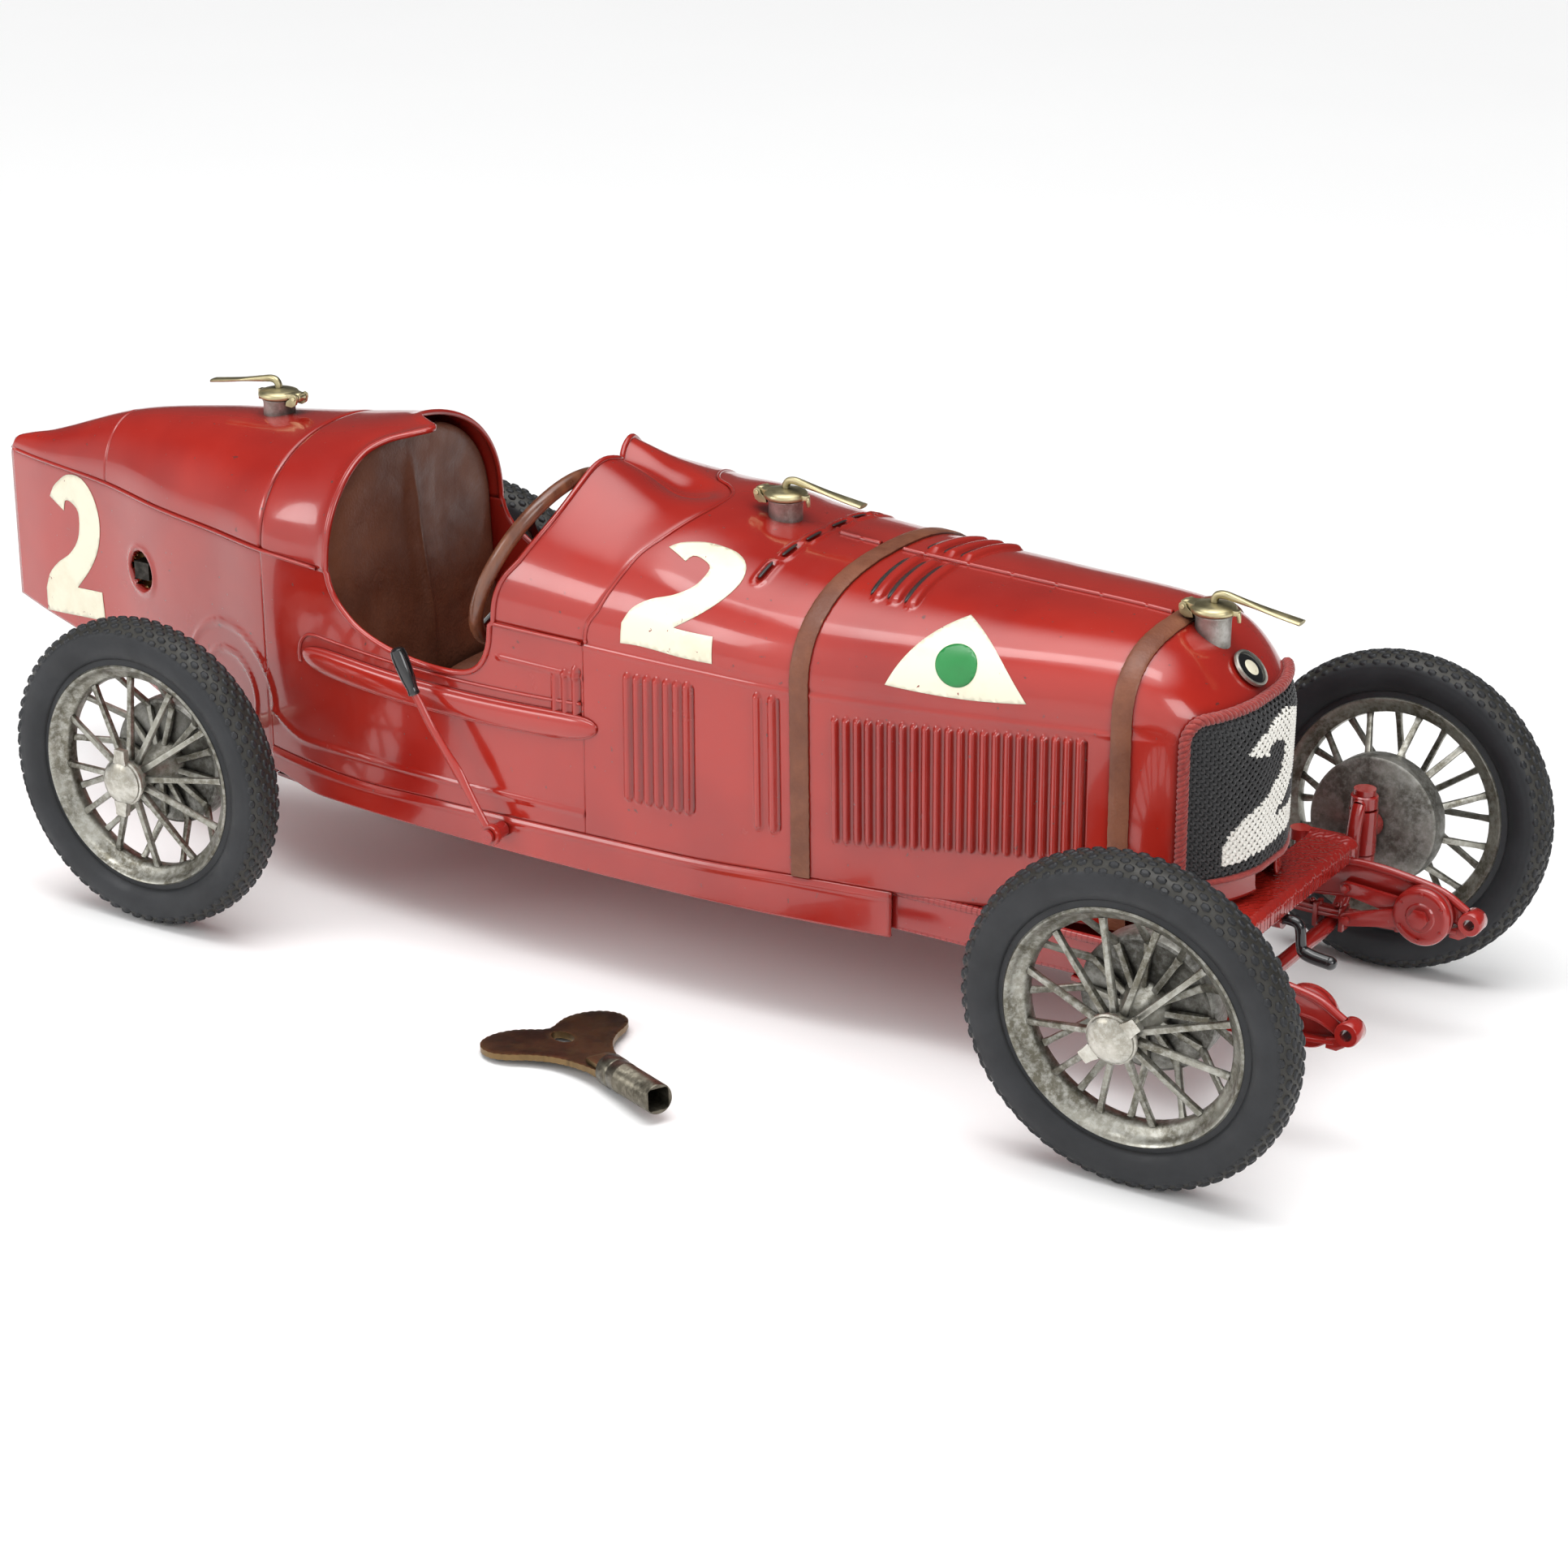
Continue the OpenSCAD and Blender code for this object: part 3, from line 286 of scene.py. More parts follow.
def face_outwards(ob):
    with edited(ob) as bm:
        bmesh.ops.recalc_face_normals(bm, faces=bm.faces)


def apply_modifiers(ob):
    """Turns the modified shape into plain mesh."""
    dg = bpy.context.evaluated_depsgraph_get()
    me = bpy.data.meshes.new_from_object(ob.evaluated_get(dg), depsgraph=dg)
    ob.modifiers.clear()
    ob.data = me
    return ob


def skin(name, grids, mat, thickness=SHEET):
    """Sheet piece from one or more grids of outer points, thickened inwards."""
    verts, faces, k = [], [], 0
    for g in grids:
        m, n = g.shape[:2]
        verts.append(g.reshape(-1, 3))
        faces.append(grid_faces(m, n) + k)
        k += m * n
    ob = add_object(name, np.concatenate(verts), np.concatenate(faces), mat)
    thicken(ob, thickness)
    return ob


def tube(name, points, radius, mat, closed=False, sides=10, taper=None):
    """Round tube along points in mm; taper gives a radius factor per point."""
    p = np.asarray(points, float)
    n = len(p)
    if closed:
        t = np.roll(p, -1, 0) - np.roll(p, 1, 0)
    else:
        t = np.gradient(p, axis=0)
    t = unit(t)
    ref = np.array([0, 0, 1.0]) if abs(t[0][2]) < 0.9 else np.array([0, 1.0, 0])
    side = np.cross(t[0], ref)
    rows = []
    for k in range(n):
        side = side - t[k] * np.dot(side, t[k])
        side /= np.linalg.norm(side)
        up = np.cross(t[k], side)
        r = radius * (1 if taper is None else taper[k])
        a = np.arange(sides) * TAU / sides
        rows.append(p[k] + r * (np.cos(a)[:, None] * side + np.sin(a)[:, None] * up))
    verts = np.concatenate(rows)
    faces = [tuple(f) for f in grid_faces(n, sides, wrap_u=closed, wrap_v=True)]
    if not closed:
        faces.append(tuple(range(sides))[::-1])
        faces.append(tuple(range((n - 1) * sides, n * sides)))
    return add_object(name, verts, faces, mat)


def spline(points, n, closed=False):
    """n points of a smooth curve through given points."""
    p = np.asarray(points, float)
    if closed:
        p = np.vstack([p, p[:1]])
    run = run_along(p)
    s = np.linspace(0, run[-1], n, endpoint=not closed)
    return np.stack([curve(np.stack([run, p[:, k]], 1), s) for k in range(3)], 1)


def lathe(profile, steps=96):
    """Vertices and faces of an outline of (r, z) pairs turned about Z; a closed outline makes a ring."""
    pr = np.asarray(profile, float)
    a = np.arange(steps) * TAU / steps
    v = np.stack([pr[None, :, 0] * np.cos(a)[:, None], pr[None, :, 0] * np.sin(a)[:, None],
                  np.broadcast_to(pr[:, 1], (steps, len(pr)))], -1)
    closed = np.allclose(pr[0], pr[-1])
    if closed:
        v = v[:, :-1]
    f = grid_faces(steps, v.shape[1], wrap_u=True, wrap_v=closed)
    return v.reshape(-1, 3), f


class Builder:
    """Collects shapes in mm, with a matrix and a material number, into one mesh."""

    def __init__(self):
        self.v, self.f, self.m, self.k = [], [], [], 0

    def add(self, verts, faces, matrix=None, mat=0):
        verts = np.asarray(verts, float)
        if matrix is not None:
            mm = np.array(matrix)
            verts = verts @ mm[:3, :3].T + mm[:3, 3]
        self.v.append(verts)
        for f in faces:
            self.f.append(tuple(int(i) + self.k for i in f))
            self.m.append(mat)
        self.k += len(verts)

    def lathe(self, profile, matrix=None, mat=0, steps=64):
        self.add(*lathe(profile, steps), matrix=matrix, mat=mat)

    def box(self, size, matrix=None, mat=0, bevel=0.3):
        """Block centred on its origin, with chamfered edges."""
        bm = bmesh.new()
        bmesh.ops.create_cube(bm, size=1.0)
        bmesh.ops.scale(bm, vec=Vector(size), verts=bm.verts)
        if bevel:
            bmesh.ops.bevel(bm, geom=bm.edges[:], offset=bevel, segments=2, profile=0.7, affect="EDGES")
        self.take(bm, matrix, mat)

    def prism(self, outline, z0, z1, matrix=None, mat=0, bevel=0.3):
        """Extruded outline of (x, y) pairs with softened edges."""
        bm = bmesh.new()
        low = [bm.verts.new((x, y, z0)) for x, y in outline]
        bottom = bm.faces.new(low)
        out = bmesh.ops.extrude_face_region(bm, geom=[bottom])
        for v in out["geom"]:
            if isinstance(v, bmesh.types.BMVert):
                v.co.z = z1
        bmesh.ops.recalc_face_normals(bm, faces=bm.faces)
        if bevel:
            rim = [e for e in bm.edges if abs(e.verts[0].co.z - e.verts[1].co.z) < 1e-9]
            bmesh.ops.bevel(bm, geom=rim, offset=bevel, segments=2, profile=0.7, affect="EDGES")
        self.take(bm, matrix, mat)

    def take(self, bm, matrix, mat):
        bm.verts.index_update()
        verts = [tuple(v.co) for v in bm.verts]
        faces = [[v.index for v in f.verts] for f in bm.faces]
        bm.free()
        self.add(verts, faces, matrix, mat)

    def rod(self, a, b, r0, r1=None, mat=0, sides=12):
        r1 = r0 if r1 is None else r1
        m, length = aim(a, b)
        prof = [(0.001, 0), (r0 * 0.85, 0), (r0, r0 * 0.15), (mix(r0, r1, 0.5), length / 2),
                (r1, length - r1 * 0.15), (r1 * 0.85, length), (0.001, length)]
        self.lathe(prof, m, mat, sides)

    def loft(self, rings, matrix=None, mat=0):
        """Skin over a row of rings with equal numbers of points, closed at both ends."""
        rows, n = len(rings), len(rings[0])
        faces = [tuple(q) for q in grid_faces(rows, n, wrap_v=True)]
        faces += [tuple(range(n))[::-1], tuple(range((rows - 1) * n, rows * n))]
        self.add(np.array(rings).reshape(-1, 3), faces, matrix, mat)

    def ball(self, c, r, mat=0, steps=20):
        prof = [(max(0.001, r * math.sin(PI * k / 12)), -r * math.cos(PI * k / 12)) for k in range(13)]
        self.lathe(prof, shift(c), mat, steps)

    def make(self, name, mats, smooth=True, sharp=35):
        ob = add_object(name, np.concatenate(self.v), self.f, mats, smooth, self.m)
        with edited(ob) as bm:
            bmesh.ops.remove_doubles(bm, verts=bm.verts, dist=0.004 * MM)
            for e in bm.edges:
                if len(e.link_faces) == 2 and e.calc_face_angle(0) > math.radians(sharp):
                    e.smooth = False
        return ob


# ---- materials ----------------------------------------------------------------------------------
class Shader:
    """A Principled material with short names for the nodes that colour it."""

    def __init__(self, name, **sockets):
        self.mat = bpy.data.materials.new(name)
        self.mat.use_nodes = True
        self.tree = self.mat.node_tree
        self.bsdf = self.tree.nodes["Principled BSDF"]
        for k, v in sockets.items():
            self.bsdf.inputs[k.replace("_", " ")].default_value = v
        self.coord = self.node("ShaderNodeTexCoord").outputs["Object"]
        self.bumps = []

    def node(self, kind, **props):
        n = self.tree.nodes.new(kind)
        for k, v in props.items():
            setattr(n, k, v)
        return n

    def link(self, a, b):
        self.tree.links.new(a, b)

    def noise(self, scale, detail=4.0, rough=0.55, stretch=None, seed=0.0):
        src = self.coord
        if stretch or seed:
            mp = self.node("ShaderNodeMapping")
            mp.inputs["Scale"].default_value = stretch or (1, 1, 1)
            mp.inputs["Location"].default_value = (seed, seed * 0.7, -seed)
            self.link(src, mp.inputs["Vector"])
            src = mp.outputs["Vector"]
        n = self.node("ShaderNodeTexNoise")
        n.inputs["Scale"].default_value = scale
        n.inputs["Detail"].default_value = detail
        n.inputs["Roughness"].default_value = rough
        self.link(src, n.inputs["Vector"])
        return n.outputs["Fac"]

    def cells(self, scale, feature="F1"):
        n = self.node("ShaderNodeTexVoronoi", feature=feature)
        n.inputs["Scale"].default_value = scale
        self.link(self.coord, n.inputs["Vector"])
        return n.outputs["Distance"]

    def edges(self, low=0.51, high=0.56):
        g = self.node("ShaderNodeNewGeometry")
        return self.step(g.outputs["Pointiness"], low, high)

    def corners(self, distance=0.004):
        """1 in the open, towards 0 in corners and recesses."""
        n = self.node("ShaderNodeAmbientOcclusion", samples=6)
        n.inputs["Distance"].default_value = distance
        return n.outputs["AO"]

    def step(self, value, low, high, a=0.0, b=1.0):
        n = self.node("ShaderNodeMapRange", interpolation_type="SMOOTHSTEP")
        for k, v in (("From Min", low), ("From Max", high), ("To Min", a), ("To Max", b)):
            n.inputs[k].default_value = v
        self.link(value, n.inputs["Value"])
        return n.outputs["Result"]

    def math(self, op, a, b):
        n = self.node("ShaderNodeMath", operation=op)
        for k, v in enumerate((a, b)):
            if isinstance(v, (int, float)):
                n.inputs[k].default_value = v
            else:
                self.link(v, n.inputs[k])
        return n.outputs[0]

    def blend(self, fac, a, b):
        n = self.node("ShaderNodeMix", data_type="RGBA")
        self.link(fac, n.inputs[0])
        for k, v in ((6, a), (7, b)):
            if isinstance(v, tuple):
                n.inputs[k].default_value = (*v, 1)
            else:
                self.link(v, n.inputs[k])
        return n.outputs[2]

    def set(self, name, value):
        self.link(value, self.bsdf.inputs[name])

    def bump(self, value, strength, distance):
        n = self.node("ShaderNodeBump")
        n.inputs["Strength"].default_value = strength
        n.inputs["Distance"].default_value = distance
        self.link(value, n.inputs["Height"])
        if self.bumps:
            self.link(self.bumps[-1], n.inputs["Normal"])
        self.bumps.append(n.outputs["Normal"])
        self.link(n.outputs["Normal"], self.bsdf.inputs["Normal"])


def enamel(name, light, dark, wear, gloss=0.12, grain=0.0):
    s = Shader(name, Coat_Weight=0.6, Coat_Roughness=0.06, Specular_IOR_Level=0.5)
    broad = s.step(s.noise(16, 3), 0.35, 0.7)
    col = s.blend(broad, light, dark)
    # Painted shade: corners and recesses darkened from ambient occlusion
    corner_shade = s.step(s.corners(0.006), 0.35, 0.95, 0.55, 0.0)
    col = s.blend(corner_shade, col, tuple(0.35 * c for c in dark))
    speck = s.step(s.noise(420, 2, 0.6, seed=2.0), 0.715, 0.74)
    rub = s.math("MULTIPLY", s.edges(0.535, 0.60), s.step(s.noise(150, 5, 0.7), 0.5, 0.62))
    worn = s.math("MAXIMUM", s.math("MULTIPLY", speck, 0.7), s.math("MULTIPLY", rub, 0.3))
    s.set("Base Color", s.blend(worn, col, wear))
    rough = s.step(s.noise(45, 5, 0.6), 0.3, 0.75, gloss, gloss + 0.16)
    s.set("Roughness", s.math("ADD", rough, s.math("MULTIPLY", worn, 0.3)))
    s.bump(s.noise(700, 2), 0.05, 0.0002)
    s.bump(s.noise(38, 3), 0.16, 0.0012)
    if grain:
        s.bump(s.cells(230, "SMOOTH_F1"), grain, 0.0009)
    return s.mat


def zinc(name, base, dark, light, gloss=0.34, metal=0.85):
    s = Shader(name, Metallic=metal)
    patch = s.step(s.noise(70, 8, 0.68), 0.42, 0.6)
    fine = s.step(s.noise(520, 5, 0.7), 0.4, 0.68)
    col = s.blend(patch, dark, base)
    col = s.blend(s.math("MULTIPLY", fine, 0.5), col, light)
    # Painted shade: corners and recesses darkened from ambient occlusion
    hollow_shade = s.step(s.corners(0.003), 0.4, 0.95, 0.75, 0.0)
    s.set("Base Color", s.blend(hollow_shade, col, tuple(0.3 * c for c in dark)))
    s.set("Roughness", s.step(s.noise(120, 6, 0.6), 0.3, 0.7, gloss + 0.2, gloss))
    s.bump(s.noise(900, 4), 0.25, 0.00025)
    s.bump(s.noise(140, 5), 0.2, 0.0006)
    return s.mat


def brass_like(name, base, dark, gloss=0.3, patch_scale=90):
    s = Shader(name, Metallic=0.95)
    patch = s.step(s.noise(patch_scale, 7, 0.65), 0.38, 0.62)
    col = s.blend(patch, dark, base)
    edge = s.math("MULTIPLY", s.edges(0.52, 0.58), 0.8)
    col = s.blend(edge, col, tuple(min(1, 1.6 * c) for c in base))
    # Painted shade: corners and recesses darkened from ambient occlusion
    hollow_shade = s.step(s.corners(0.002), 0.35, 0.9, 0.8, 0.0)
    s.set("Base Color", s.blend(hollow_shade, col, tuple(0.25 * c for c in dark)))
    s.set("Roughness", s.step(s.noise(200, 5, 0.6), 0.3, 0.7, gloss + 0.18, gloss))
    s.bump(s.noise(600, 4), 0.18, 0.0002)
    return s.mat


def rubber(name, base, dust, dusty):
    s = Shader(name, Specular_IOR_Level=0.4)
    col = s.blend(s.step(s.noise(60, 6, 0.65), 0.35, 0.7), base, tuple(1.5 * c for c in base))
    low = s.step(s.corners(0.0025), 0.25, 0.85, dusty, 0.0)
    low = s.math("MULTIPLY", low, s.step(s.noise(190, 4, 0.7), 0.3, 0.6))
    s.set("Base Color", s.blend(low, col, dust))
    s.set("Roughness", s.step(s.noise(90, 5), 0.3, 0.7, 0.42, 0.6))
    s.bump(s.noise(900, 3), 0.14, 0.0002)
    s.bump(s.noise(55, 4), 0.12, 0.001)
    return s.mat


def hide(name, base, dark, pale, creases=False):
    s = Shader(name, Coat_Weight=0.15, Coat_Roughness=0.35, Specular_IOR_Level=0.4)
    col = s.blend(s.step(s.noise(55, 6, 0.65), 0.35, 0.68), dark, base)
    scuff = s.math("MULTIPLY", s.edges(0.52, 0.60), s.step(s.noise(300, 4, 0.7), 0.4, 0.65))
    col = s.blend(scuff, col, pale)
    # Painted shade: corners and recesses darkened from ambient occlusion
    s.set("Base Color", s.blend(s.step(s.corners(0.004), 0.3, 0.95, 0.7, 0.0), col,
                                tuple(0.3 * c for c in dark)))
    s.set("Roughness", s.step(s.noise(130, 5), 0.3, 0.7, 0.38, 0.62))
    s.bump(s.cells(1100, "F1"), 0.25, 0.0003)
    if creases:
        fine = s.step(s.cells(85, "DISTANCE_TO_EDGE"), 0.0, 0.09)
        s.bump(fine, 0.10, 0.0004)
    s.bump(s.noise(85, 6, 0.65), 0.35, 0.0012)
    return s.mat


def timber(name):
    s = Shader(name, Coat_Weight=0.5, Coat_Roughness=0.12)
    grain = s.noise(260, 6, 0.6, stretch=(1, 1, 0.2))
    s.set("Base Color", s.blend(s.step(grain, 0.35, 0.68), (0.10, 0.030, 0.013), (0.17, 0.055, 0.022)))
    s.set("Roughness", s.step(grain, 0.3, 0.7, 0.26, 0.42))
    s.bump(grain, 0.1, 0.0002)
    return s.mat


def paint(name, base, stain):
    s = Shader(name, Coat_Weight=0.25, Coat_Roughness=0.15)
    col = s.blend(s.step(s.noise(45, 6, 0.65), 0.45, 0.75), base, stain)
    chip = s.step(s.noise(330, 3, 0.65, seed=1.3), 0.70, 0.73)
    s.set("Base Color", s.blend(chip, col, (0.22, 0.03, 0.02)))
    s.set("Roughness", s.step(s.noise(160, 4), 0.3, 0.7, 0.28, 0.42))
    s.bump(s.noise(800, 3), 0.08, 0.0002)
    return s.mat


def thread(name, base, pale):
    s = Shader(name, Sheen_Weight=0.3, Specular_IOR_Level=0.35)
    s.set("Base Color", s.blend(s.step(s.noise(900, 4, 0.7), 0.35, 0.7), base, pale))
    s.set("Roughness", s.step(s.noise(500, 3), 0.3, 0.7, 0.45, 0.7))
    s.bump(s.noise(2600, 3), 0.5, 0.0002)
    return s.mat


RED = enamel("red_enamel_paint", (0.37, 0.019, 0.011), (0.28, 0.012, 0.008), (0.035, 0.02, 0.016))
RED_PLAIN = enamel("red_enamel_frame", (0.34, 0.017, 0.013), (0.25, 0.011, 0.009), (0.20, 0.012, 0.010))
RED_HAMMERED = enamel("red_enamel_hammered", (0.36, 0.018, 0.011), (0.25, 0.011, 0.008), (0.16, 0.012, 0.010),
                      grain=0.4)
BLACK = enamel("black_enamel_paint", (0.012, 0.012, 0.013), (0.006, 0.006, 0.007), (0.10, 0.085, 0.07))
ZINC = zinc("zinc_cast", (0.33, 0.32, 0.275), (0.135, 0.125, 0.095), (0.58, 0.58, 0.54), 0.28)
ZINC_DARK = zinc("zinc_drum", (0.25, 0.245, 0.22), (0.11, 0.105, 0.09), (0.42, 0.42, 0.40), 0.42)
ZINC_NECK = zinc("zinc_neck", (0.46, 0.45, 0.42), (0.30, 0.29, 0.26), (0.64, 0.64, 0.62), 0.34, 0.8)
NICKEL = zinc("nickel_plate", (0.55, 0.53, 0.47), (0.34, 0.32, 0.27), (0.70, 0.69, 0.64), 0.22, 0.95)
BRASS = brass_like("brass_dull", (0.42, 0.37, 0.22), (0.26, 0.225, 0.125))
GEAR_BRASS = brass_like("brass_gears", (0.60, 0.44, 0.18), (0.42, 0.29, 0.11), 0.24)
BRONZE = brass_like("bronze_key", (0.135, 0.088, 0.040), (0.055, 0.038, 0.022), 0.3, 60)
STEEL = zinc("steel_key_stem", (0.125, 0.112, 0.085), (0.06, 0.053, 0.04), (0.26, 0.24, 0.19), 0.26, 0.9)
SPRING = brass_like("spring_steel_blued", (0.16, 0.17, 0.20), (0.08, 0.08, 0.10), 0.3)
RUBBER = rubber("tyre_rubber", (0.011, 0.012, 0.014), (0.07, 0.06, 0.04), 0.25)
GROOVE = rubber("tyre_groove_dust", (0.020, 0.019, 0.016), (0.10, 0.08, 0.05), 0.9)
LEATHER = hide("leather_strap_brown", (0.20, 0.066, 0.030), (0.13, 0.038, 0.017), (0.30, 0.12, 0.06))
SEAT_HIDE = hide("leather_seat_brown", (0.155, 0.052, 0.026), (0.115, 0.036, 0.018), (0.24, 0.11, 0.06),
                 creases=True)
WOOD = timber("wood_rim_polished")
OILED = zinc("steel_oiled", (0.05, 0.045, 0.04), (0.02, 0.018, 0.015), (0.10, 0.09, 0.08), 0.35)
CREAM = paint("cream_numeral_paint", (0.78, 0.74, 0.58), (0.68, 0.62, 0.46))
GREEN = paint("green_disc_paint", (0.012, 0.21, 0.045), (0.010, 0.15, 0.03))
THREAD_DARK = thread("woven_thread_black", (0.010, 0.010, 0.011), (0.03, 0.03, 0.032))
THREAD_PALE = thread("woven_thread_white", (0.74, 0.72, 0.66), (0.86, 0.85, 0.80))
THREAD_RED = thread("braid_red", (0.22, 0.018, 0.015), (0.33, 0.04, 0.03))
# Black for the dark inside parts, and painted shade over the slits in the bonnet and scuttle
DARK = enamel("inside_black_and_slit_shade", (0.010, 0.009, 0.009), (0.006, 0.006, 0.006), (0.05, 0.04, 0.03), 0.5)


def repaint(node, *mats):
    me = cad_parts[node].data
    if not me.materials:
        me.materials.append(mats[0])
    for k in range(len(me.materials)):
        me.materials[k] = mats[min(k, len(mats) - 1)]


for _node, _mat in {
    "undertray": RED_PLAIN, "crank_bush": RED_PLAIN, "knuckle_right": RED_PLAIN,
    "knuckle_left": RED_PLAIN, "track_rod": RED_PLAIN, "seat_base": DARK, "bulkhead": DARK,
    "column_tube": BLACK,
    "steering_shaft": BLACK, "kingpins": RED_PLAIN, "motor_pillars": NICKEL, "motor_plates": GEAR_BRASS,
    "mainspring": SPRING, "lever_pivot": RED_PLAIN, "rear_axle_shaft": NICKEL, "axle_pinion": GEAR_BRASS,
    "intermediate_shaft": GEAR_BRASS, "great_wheel": GEAR_BRASS, "ratchet_click": NICKEL,
    "winding_arbor": OILED,
}.items():
    repaint(_node, _mat)


# ---- embossed detail ----------------------------------------------------------------------------
def bead(x, z, cx, z0, z1, width, height):
    """Half-round bead standing from z0 to z1 at cx, with round ends."""
    r = width / 2
    zz = np.clip(z, z0 + r, z1 - r)
    d = np.hypot(x - cx, z - zz) / r
    return height * np.sqrt(np.maximum(0, 1 - d**2))


def louvre_group(x, z, x0, x1, count, low, high, width=2.5, height=1.6):
    """Row of upright louvres: beads with a cut below each one's front edge."""
    h = 0 * x
    for k in range(count):
        u = k / max(1, count - 1)
        cx = mix(x0, x1, u)
        h = np.maximum(h, bead(x, z, cx, mix(*low, u), mix(*high, u), width, height))
        slit = bead(x, z, cx + width * 0.62, mix(*low, u) + 0.8, mix(*high, u) - 0.8, 1.3, 0.95)
        h = h - slit * (h < 0.05)
    return h


def groove(dist, width, depth):
    return -depth * np.exp(-((dist / width) ** 2))


def edge_round(dist, width=0.7, depth=0.45):
    """Falls away towards a sheet's edge, where dist is the distance from it."""
    return groove(dist, width, depth)


def emboss(p, height):
    return p + grid_normals(p) * height[..., None]


def evenly(a, b, n):
    """n+1 values from a to b."""
    return mix(a, b, np.linspace(0, 1, n + 1))


def body_sheet(name, p, height, node):
    """Red sheet on the chassis, from its outer points and the height of its pressed detail."""
    place(skin(name, [emboss(p, height)], RED), "chassis", node, slot="red_enamel")


def trim(name, points, radius, mat=RED, **values):
    """Bead, seam or cord fixed to the chassis."""
    place(tube(name, points, radius, mat, **values), "chassis", slot="red_enamel")


def hoop_grid(x_side, x_arch, side_n, arch_n, low=None):
    """Grid of points over the whole body. x_side is (m, 2): right and left. x_arch is (m, arch_n+1)."""
    v = np.linspace(0, 1, side_n + 1)
    xr, xl = x_side[:, :1], x_side[:, 1:]
    lowr = sill(xr) if low is None else low + 0 * xr
    lowl = sill(xl) if low is None else low + 0 * xl
    zr = mix(lowr, belt(xr), v[None, :-1])
    zl = mix(belt(xl), lowl, v[None, 1:])
    wr = mix(half_f(xr), half_w(xr), v[None, :-1])
    wl = mix(half_w(xl), half_f(xl), v[None, 1:])
    right = np.stack([xr + 0 * zr, -wr, zr], -1)
    left = np.stack([xl + 0 * zl, wl, zl], -1)
    a = np.linspace(0, PI, arch_n + 1)[None, :]
    top = arch(x_arch, a + 0 * x_arch)
    return np.concatenate([right, top, left], 1)


def straight(xs, arch_n):
    xs = np.asarray(xs, float)
    return np.stack([xs, xs], 1), np.repeat(xs[:, None], arch_n + 1, 1)


# ---- body -----------------------------------------------------------------------------------------
KEYHOLE = (-188.5, 87.2)
HOOP_X = -92.0


def wheel_arcs(x, z):
    """Two fine raised lines round the rear axle's opening."""
    h = 0 * x
    for r in (14.0, 23.0):
        d = np.hypot(x + 140, z - 59) - r
        keep = ramp(x + z * 0.4, -150, -128) * (ramp(z, 56, 59) if r > 20 else 1)
        h = h + 0.9 * np.exp(-((d / 0.75) ** 2)) * keep
    return h


def make_tail():
    # Deck: from the tail's point to the hoop seam, with a joint line across it
    xs = np.concatenate([evenly(TAIL_X, -209.5, 34), evenly(-209, -207, 10),
                         evenly(-206.5, HOOP_SEAM, 80)])
    a = np.linspace(0, PI, 73)[None, :]
    X = np.repeat(xs[:, None], 73, 1)
    p = arch(X, a + 0 * X)
    h = groove(X + 208, 0.4, 0.4) + edge_round(X - HOOP_SEAM)
    body_sheet("tail_deck_sheet", p, h, "tail_deck")
    # The tub goes right round below the belt
    xs = np.concatenate([evenly(TAIL_X, -200, 40), evenly(-199, -175, 60),
                         evenly(-174, HOOP_SEAM + 1.2, 96)])
    foot = curve(FOOT_Z, xs)[:, None]
    v = np.linspace(1, 0, 60)[None, :]
    X = xs[:, None] + 0 * v
    zb = belt(X)
    z = mix(foot, zb, v)
    w = mix(half_f(X), half_w(X), v)
    left = np.stack([X, w, z], -1)
    floor_y = np.linspace(0.94, -0.94, 9)[None, :] * half_f(xs)[:, None]
    floor = np.stack([xs[:, None] + 0 * floor_y, floor_y, foot + 0 * floor_y], -1)
    p = np.concatenate([left, floor, left[:, ::-1] * np.array([1, -1, 1])], 1)
    x, y, z = p[..., 0], p[..., 1], p[..., 2]
    h = wheel_arcs(x, z) * (np.abs(y) > 5)
    h = h + edge_round(z - belt(x), 0.9, 0.5) - 0.15 * ramp(x, HOOP_SEAM - 0.3, HOOP_SEAM + 0.1)
    # Flared lip round the keyhole
    r = np.hypot(x - KEYHOLE[0], z - KEYHOLE[1])
    h = h + (y < 0) * (0.7 * bell(r, 7.6, 1.0) - 2.2 * ramp(-r, -6.9, -5.6))
    p = emboss(p, h)
    grid = grid_faces(*p.shape[:2])
    flat = p.reshape(-1, 3)
    keep = []
    for f in grid:
        c = flat[f].mean(0)
        at_keyhole = c[1] < 0 and math.hypot(c[0] - KEYHOLE[0], c[2] - KEYHOLE[1]) < 6.2
        at_axle = math.hypot(c[0] - REAR_X, c[2] - TYRE_R) < 3.6
        if not (at_keyhole or at_axle):
            keep.append(f)
    ob = add_object("tail_tub_sheet", flat, keep, RED)
    thicken(ob, SHEET)
    place(ob, "chassis", "tail_tub", slot="red_enamel")
    # Fine rolled edge along the belt
    xs = evenly(TAIL_X + 2, -96, 60)
    for s, side in SIDES:
        trim(f"tail_belt_seam_{side}", np.stack([xs, s * (half_w(xs) + 0.15), belt(xs)], 1), 0.62, sides=8)


